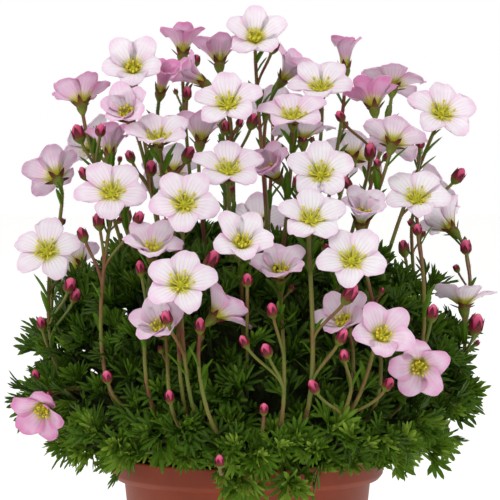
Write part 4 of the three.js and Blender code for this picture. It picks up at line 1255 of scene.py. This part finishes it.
# The cushion: leafy shoots over a mound
cushion = {
    "tips": {"wide": 91, "up": 62, "down": 40},  # from the mound's centre to the furthest leaf tips
    # Size of the dark mound of painted shade inside the cushion
    "shadeCore": {"wide": 54, "up": 36, "down": 25},
    "shadeCoreRough": (-3.5, 5.5),
    "squareness": 2.4,  # of the mound: 2 would be round
    "uneven": (0.94, 1.02),  # reach of a shoot, as a share
    "turn": 137.508,  # degrees from one shoot to the next, which spreads them evenly
    "droop": -0.45,  # rise of the shoots that hang over the rim
    "own": {  # shoots of the part itself
        "count": 52,
        "start": 225,
        "lowest": -0.36,  # sine of the steepest way down from the mound's centre
        "seed": 7,
        "depths": (23, 15, 15),  # from the leaf tips in to the shoots, by turns
        "rise": (0.35, 0.35),  # how far they turn upwards, and the ones of the skirt
        "skirtRise": (0, 0),
        "overRim": [(261, 64, 92), (290, 63, 91), (304, 65, 94), (320, 66, 95)],
    },
    "more": {  # smaller ones between them
        "count": 400,
        "start": 77,
        "lowest": -0.42,
        "seed": 61,
        "depths": (8, 14, 20, 11),
        "rise": (0.7, 1.9),
        "skirtRise": (-0.1, 0.6),
        "overRim": [(268, 66, 89), (276, 61, 93), (283, 67, 87), (297, 61, 94), (253, 60, 98)],
    },
    "rings": [  # further ones, before the feet of the stems in front, and where the sides were thin
        {"count": 21, "from": 222, "step": 4.6, "out": (80, 88), "height": (98, 110), "rise": (0.3, 1.1)},
        {"count": 18, "from": 312, "step": 4.7, "out": (68, 78), "height": (106, 126), "rise": (0.5, 1.4)},
        {"count": 10, "from": 150, "step": 6.0, "out": (68, 76), "height": (108, 124), "rise": (0.5, 1.4)},
        {"count": 10, "from": 162, "step": 5.4, "out": (54, 65), "height": (127, 144), "rise": (0.8, 1.8)},
        {"count": 7, "from": 158, "step": 9.0, "out": (46, 56), "height": (144, 160), "rise": (1.2, 2.4)}],
    "ownLeaves": {
        "count": 5,
        "fiveLobed": 0.2,  # share with five lobes
        "tilt": (34, 64),  # degrees from the shoot's axis
        "twist": (-30, 30),  # degrees that one may turn about itself
        "length": (0.9, 1.1),
        "share": 0.78,  # length of these leaves against the part's own, which stand for several
        "youth": (0.0, 0.4),
    },
    "moreLeaves": {
        "count": 6,
        "lobes": (3, 3, 5, 5, 5),
        "stray": (-16, 16),  # degrees off an even turn
        "tilt": (22, 70),
        "twist": (-50, 50),
        "size": (9.5, 14.5),
        "length": (0.86, 1.12),
        "shootYouth": (-0.05, 0.25),
        "youth": (0.0, 0.25),
    },
    "innerLeaves": {  # young ones at the heart of each shoot
        "count": 5,
        "turn": 137.5,
        "tilt": (2, 28),
        "twist": (-50, 50),
        "size": (7.5, 12),
        "youth": (0.35, 0.7),
    },
    "sway": 26,  # degrees that the axis of a small shoot may stand off
    "skirt": {"below": 118, "over": 60, "most": 0.35},  # lower leaves get the light, painted as a lighter, yellower green
    "rimWindows": ((-46, -14), (26, 50)),  # stretches of x where the pot's rim shows in front
    "rimRoom": 0.8,  # clear of the pot
    "stemRoom": 2.2,  # clear of the stems that stand before the leaves
    "bloomRoom": {"behind": 1.5, "ahead": 4, "round": 1.6},
}
wood = {
    "foot": 0.35,  # share of its shoot's distance from the pot's axis
    "footHeight": 94,
    "straight": 12,  # length that runs into the shoot
    "overRim": 101,
    "radius": (1.5, 0.9),
}
# Turns and shares of its length that a leaf tries until it is clear, and the points of it that have to be
leafTrials = [(0, 1), (9, 1), (-9, 1), (18, 1), (-18, 1), (0, 0.8), (12, 0.8), (-12, 0.8), (0, 0.65)]
leafProbes = [Vector((0, 9, 0)), Vector((0, 15, -1)), Vector((0, 21, -3)), Vector((-6, 15.5, -1)),
              Vector((6, 15.5, -1))]


def moundReach(elevation, spread):
    rise = spread["down"] if elevation < 0 else spread["up"]
    level = abs(math.cos(elevation)) / spread["wide"]
    steep = abs(math.sin(elevation)) / rise
    power = cushion["squareness"]
    return (level ** power + steep ** power) ** (-1 / power)


def shootAt(hub, away, rise, turn):
    axis = (away + up * rise).normalized()
    across = up.cross(axis).normalized()
    return {"hub": hub, "axis": axis, "across": across, "along": axis.cross(across), "clump": clumpOf(hub),
            "turn": turn}


def shootTops(rule):
    draw = randomFrom(rule["seed"])
    lean = randomFrom(rule["seed"] + 500)
    spread = []
    for n in range(rule["count"]):
        sine = rule["lowest"] + (0.97 - rule["lowest"]) * (n + 0.5) / rule["count"]
        away = levelWay(rule["start"] + n * cushion["turn"]) * math.sqrt(1 - sine * sine) + up * sine
        depth = rule["depths"][n % len(rule["depths"])]
        reach = moundReach(math.asin(sine), cushion["tips"]) * draw(*cushion["uneven"]) - depth
        rise = lean(*(rule["rise"] if sine > 0 else rule["skirtRise"]))
        spread.append(shootAt(away * reach + up * moundCentre, away, rise, draw(0, 360)))
    overRim = []
    for degrees, distance, height in rule["overRim"]:
        away = levelWay(degrees)
        overRim.append(shootAt(away * distance + up * height, away, cushion["droop"], draw(0, 360)))
    return overRim + spread


def ringShoots(rule, draw):
    shoots = []
    for n in range(rule["count"]):
        away = levelWay(rule["from"] + n * rule["step"])
        hub = away * draw(*rule["out"]) + up * draw(*rule["height"])
        shoots.append(shootAt(hub, away, draw(*rule["rise"]), draw(0, 360)))
    return shoots


def swayed(shoot, draw):
    across, along = (math.tan(math.radians(draw(-cushion["sway"], cushion["sway"]))) for _ in range(2))
    axis = (shoot["axis"] + shoot["across"] * across + shoot["along"] * along).normalized()
    side = up.cross(axis).normalized()
    return {**shoot, "axis": axis, "across": side, "along": axis.cross(side)}


def leafMatrix(shoot, angle, tilt, twist, length):
    away = shoot["across"] * math.cos(angle) + shoot["along"] * math.sin(angle)
    ahead = shoot["axis"] * math.cos(tilt) + away * math.sin(tilt)
    face = shoot["axis"] * math.sin(tilt) - away * math.cos(tilt)
    face = Matrix.Rotation(twist, 3, ahead) @ face
    return basis(ahead.cross(face), ahead, face, shoot["hub"]) @ Matrix.Scale(length / leaf["length"], 4)


def inCorolla(point):
    room = cushion["bloomRoom"]
    for stand in stands:
        spread = math.radians(stand["spread"])
        offset = point - stand["throat"]
        height = offset.dot(stand["axis"])
        if not -room["behind"] < height < petalLength * math.cos(spread) + room["ahead"]:
            continue
        radius = (offset - stand["axis"] * height).length
        if radius < throatRadius + petalLength * math.sin(spread) + room["round"]:
            return True
    return False


def inPotWall(point):
    inside = soil["rings"][0]
    outside, top = pot["rimRadius"] + cushion["rimRoom"], pot["height"] + cushion["rimRoom"]
    return inside < math.hypot(point.x, point.y) < outside and point.z < top


# Where no leaf hangs before the rim
def inRimWindow(point):
    windows = cushion["rimWindows"]
    return point.y < -20 and point.z < pot["height"] and any(low < point.x < high for low, high in windows)


# Points along the stems that stand before the leaves
def stemPoints():
    points = []
    for number, stand in enumerate(stands):
        if lowAndOuter(stand["throat"]) and number not in innerStems:
            first, step, count = outerStem["clear"]
            points += [bezierPoint(curves[number], first + step * n) for n in range(count)]
    return points


besideStems = stemPoints()


# A copy of a leaf, turned or shortened until it is clear of pot, blooms and stems, or none if it never is
def placedLeaf(shoot, model, turn, tilt, twist, length, youth):
    for swing, share in leafTrials:
        matrix = leafMatrix(shoot, math.radians(turn + swing), math.radians(tilt), math.radians(twist),
                            length * share)
        points = [matrix @ probe for probe in leafProbes]
        if any(inPotWall(point) or inRimWindow(point) or inCorolla(point) for point in points):
            continue
        if all((point - beside).length >= cushion["stemRoom"] for point in points for beside in besideStems):
            return copyOf(model, matrix, youth=youth)
    return None


# Painted light: leaves low on the cushion are made lighter and yellower, as for the light they catch
def skirtLight(shoot):
    skirt = cushion["skirt"]
    return within((0.0, skirt["most"]), (skirt["below"] - shoot["hub"].z) / skirt["over"])


def makeCushion(models):
    parts = [[] for _ in range(clumpCount)]
    draw = randomFrom(11)
    more = randomFrom(51)
    ownTops = shootTops(cushion["own"])
    rule = cushion["ownLeaves"]
    for shoot in ownTops:
        for n in range(rule["count"]):
            lobes = 5 if draw() < rule["fiveLobed"] else 3
            tilt = draw(*rule["tilt"])
            length = leaf["length"] * draw(*rule["length"]) * rule["share"]
            turn = shoot["turn"] + n * 360 / rule["count"]
            parts[shoot["clump"]].append(placedLeaf(
                shoot, models[lobes][int(more(0, 3))], turn, tilt, more(*rule["twist"]), length,
                skirtLight(shoot) + more(*rule["youth"])))
    extraTops = [swayed(shoot, more) for shoot in shootTops(cushion["more"])]
    for ring in cushion["rings"]:
        extraTops += [swayed(shoot, more) for shoot in ringShoots(ring, more)]
    rule = cushion["moreLeaves"]
    for shoot in extraTops:
        youth = skirtLight(shoot) + more(*rule["shootYouth"])
        size = more(*rule["size"])
        for n in range(rule["count"]):
            turn = shoot["turn"] + n * 360 / rule["count"] + more(*rule["stray"])
            lobes = rule["lobes"][int(more(0, 5))]
            parts[shoot["clump"]].append(placedLeaf(
                shoot, models[lobes][int(more(0, 3))], turn, more(*rule["tilt"]), more(*rule["twist"]),
                size * more(*rule["length"]), youth + more(*rule["youth"])))
    rule = cushion["innerLeaves"]
    for shoot in ownTops + extraTops:
        for n in range(rule["count"]):
            parts[shoot["clump"]].append(placedLeaf(
                shoot, models[3][n % 2], shoot["turn"] + n * rule["turn"], more(*rule["tilt"]),
                more(*rule["twist"]), more(*rule["size"]), skirtLight(shoot) + more(*rule["youth"])))
    for clump in range(clumpCount):
        leaves = [part for part in parts[clump] if part]
        piece = joined(f"leaves_{clump + 1}", leaves)
        print("clump", clump + 1, "has", len(leaves), "leaves")
        settle(piece, [clumpNodes[clump]], 55)
    return ownTops + extraTops


# Woody shoots from the crowns to the leafy tips, round the crowded inside of the cushion, which is filled by
# a dark mound of painted shade
def makeWood(tops):
    paths = []
    thick, thin = wood["radius"]
    for shoot in tops:
        hub = shoot["hub"]
        foot = Vector((hub.x * wood["foot"], hub.y * wood["foot"], wood["footHeight"]))
        bend = hub - shoot["axis"] * wood["straight"]
        bend.z = max(bend.z, wood["overRim"])
        paths.append([
            (foot, foot - up * 5, foot.lerp(hub, 0.3) + up * 3, thick), (hub, bend, hub * 2 - bend, thin)])
    tangle = rods("woody_shoots_and_shade_core", paths, 0, 5, shootAndShadeSkin)
    # A dark mound of painted shade, where the gaps between the leaves look into the cushion
    bpy.ops.object.select_all(action="DESELECT")
    bpy.ops.mesh.primitive_ico_sphere_add(subdivisions=5, radius=1)
    shadeCore = bpy.context.object
    draw = randomFrom(71)
    for point in shadeCore.data.vertices:
        away = point.co.normalized()
        reach = moundReach(math.asin(within((-1, 1), away.z)), cushion["shadeCore"]) + draw(*cushion["shadeCoreRough"])
        point.co = away * reach + up * moundCentre
    shadeCore.data.materials.append(shootAndShadeSkin)
    settle(joined("woody_shoots_and_shade_core", [tangle, shadeCore]), clumpNodes, 60)


makePot()
makeSoil()
print("pot and potting mix done")
blank = petalBlank()
for number in range(len(blooms)):
    makeCorolla(number, blank)
dropModels(blank)
print("corollas done")
leafModels = {lobes: [makeLeafModel(lobes, bend) for bend in leaf["bend"]] for lobes in (3, 5)}
bractModel = makeLeafModel(1, leaf["bend"][1])
makeStems(makeHearts(), bractModel)
print("stems and buds done")
makeWood(makeCushion(leafModels))
dropModels(bractModel, *leafModels[3], *leafModels[5])
print("cushion done")

bpy.context.view_layer.update()
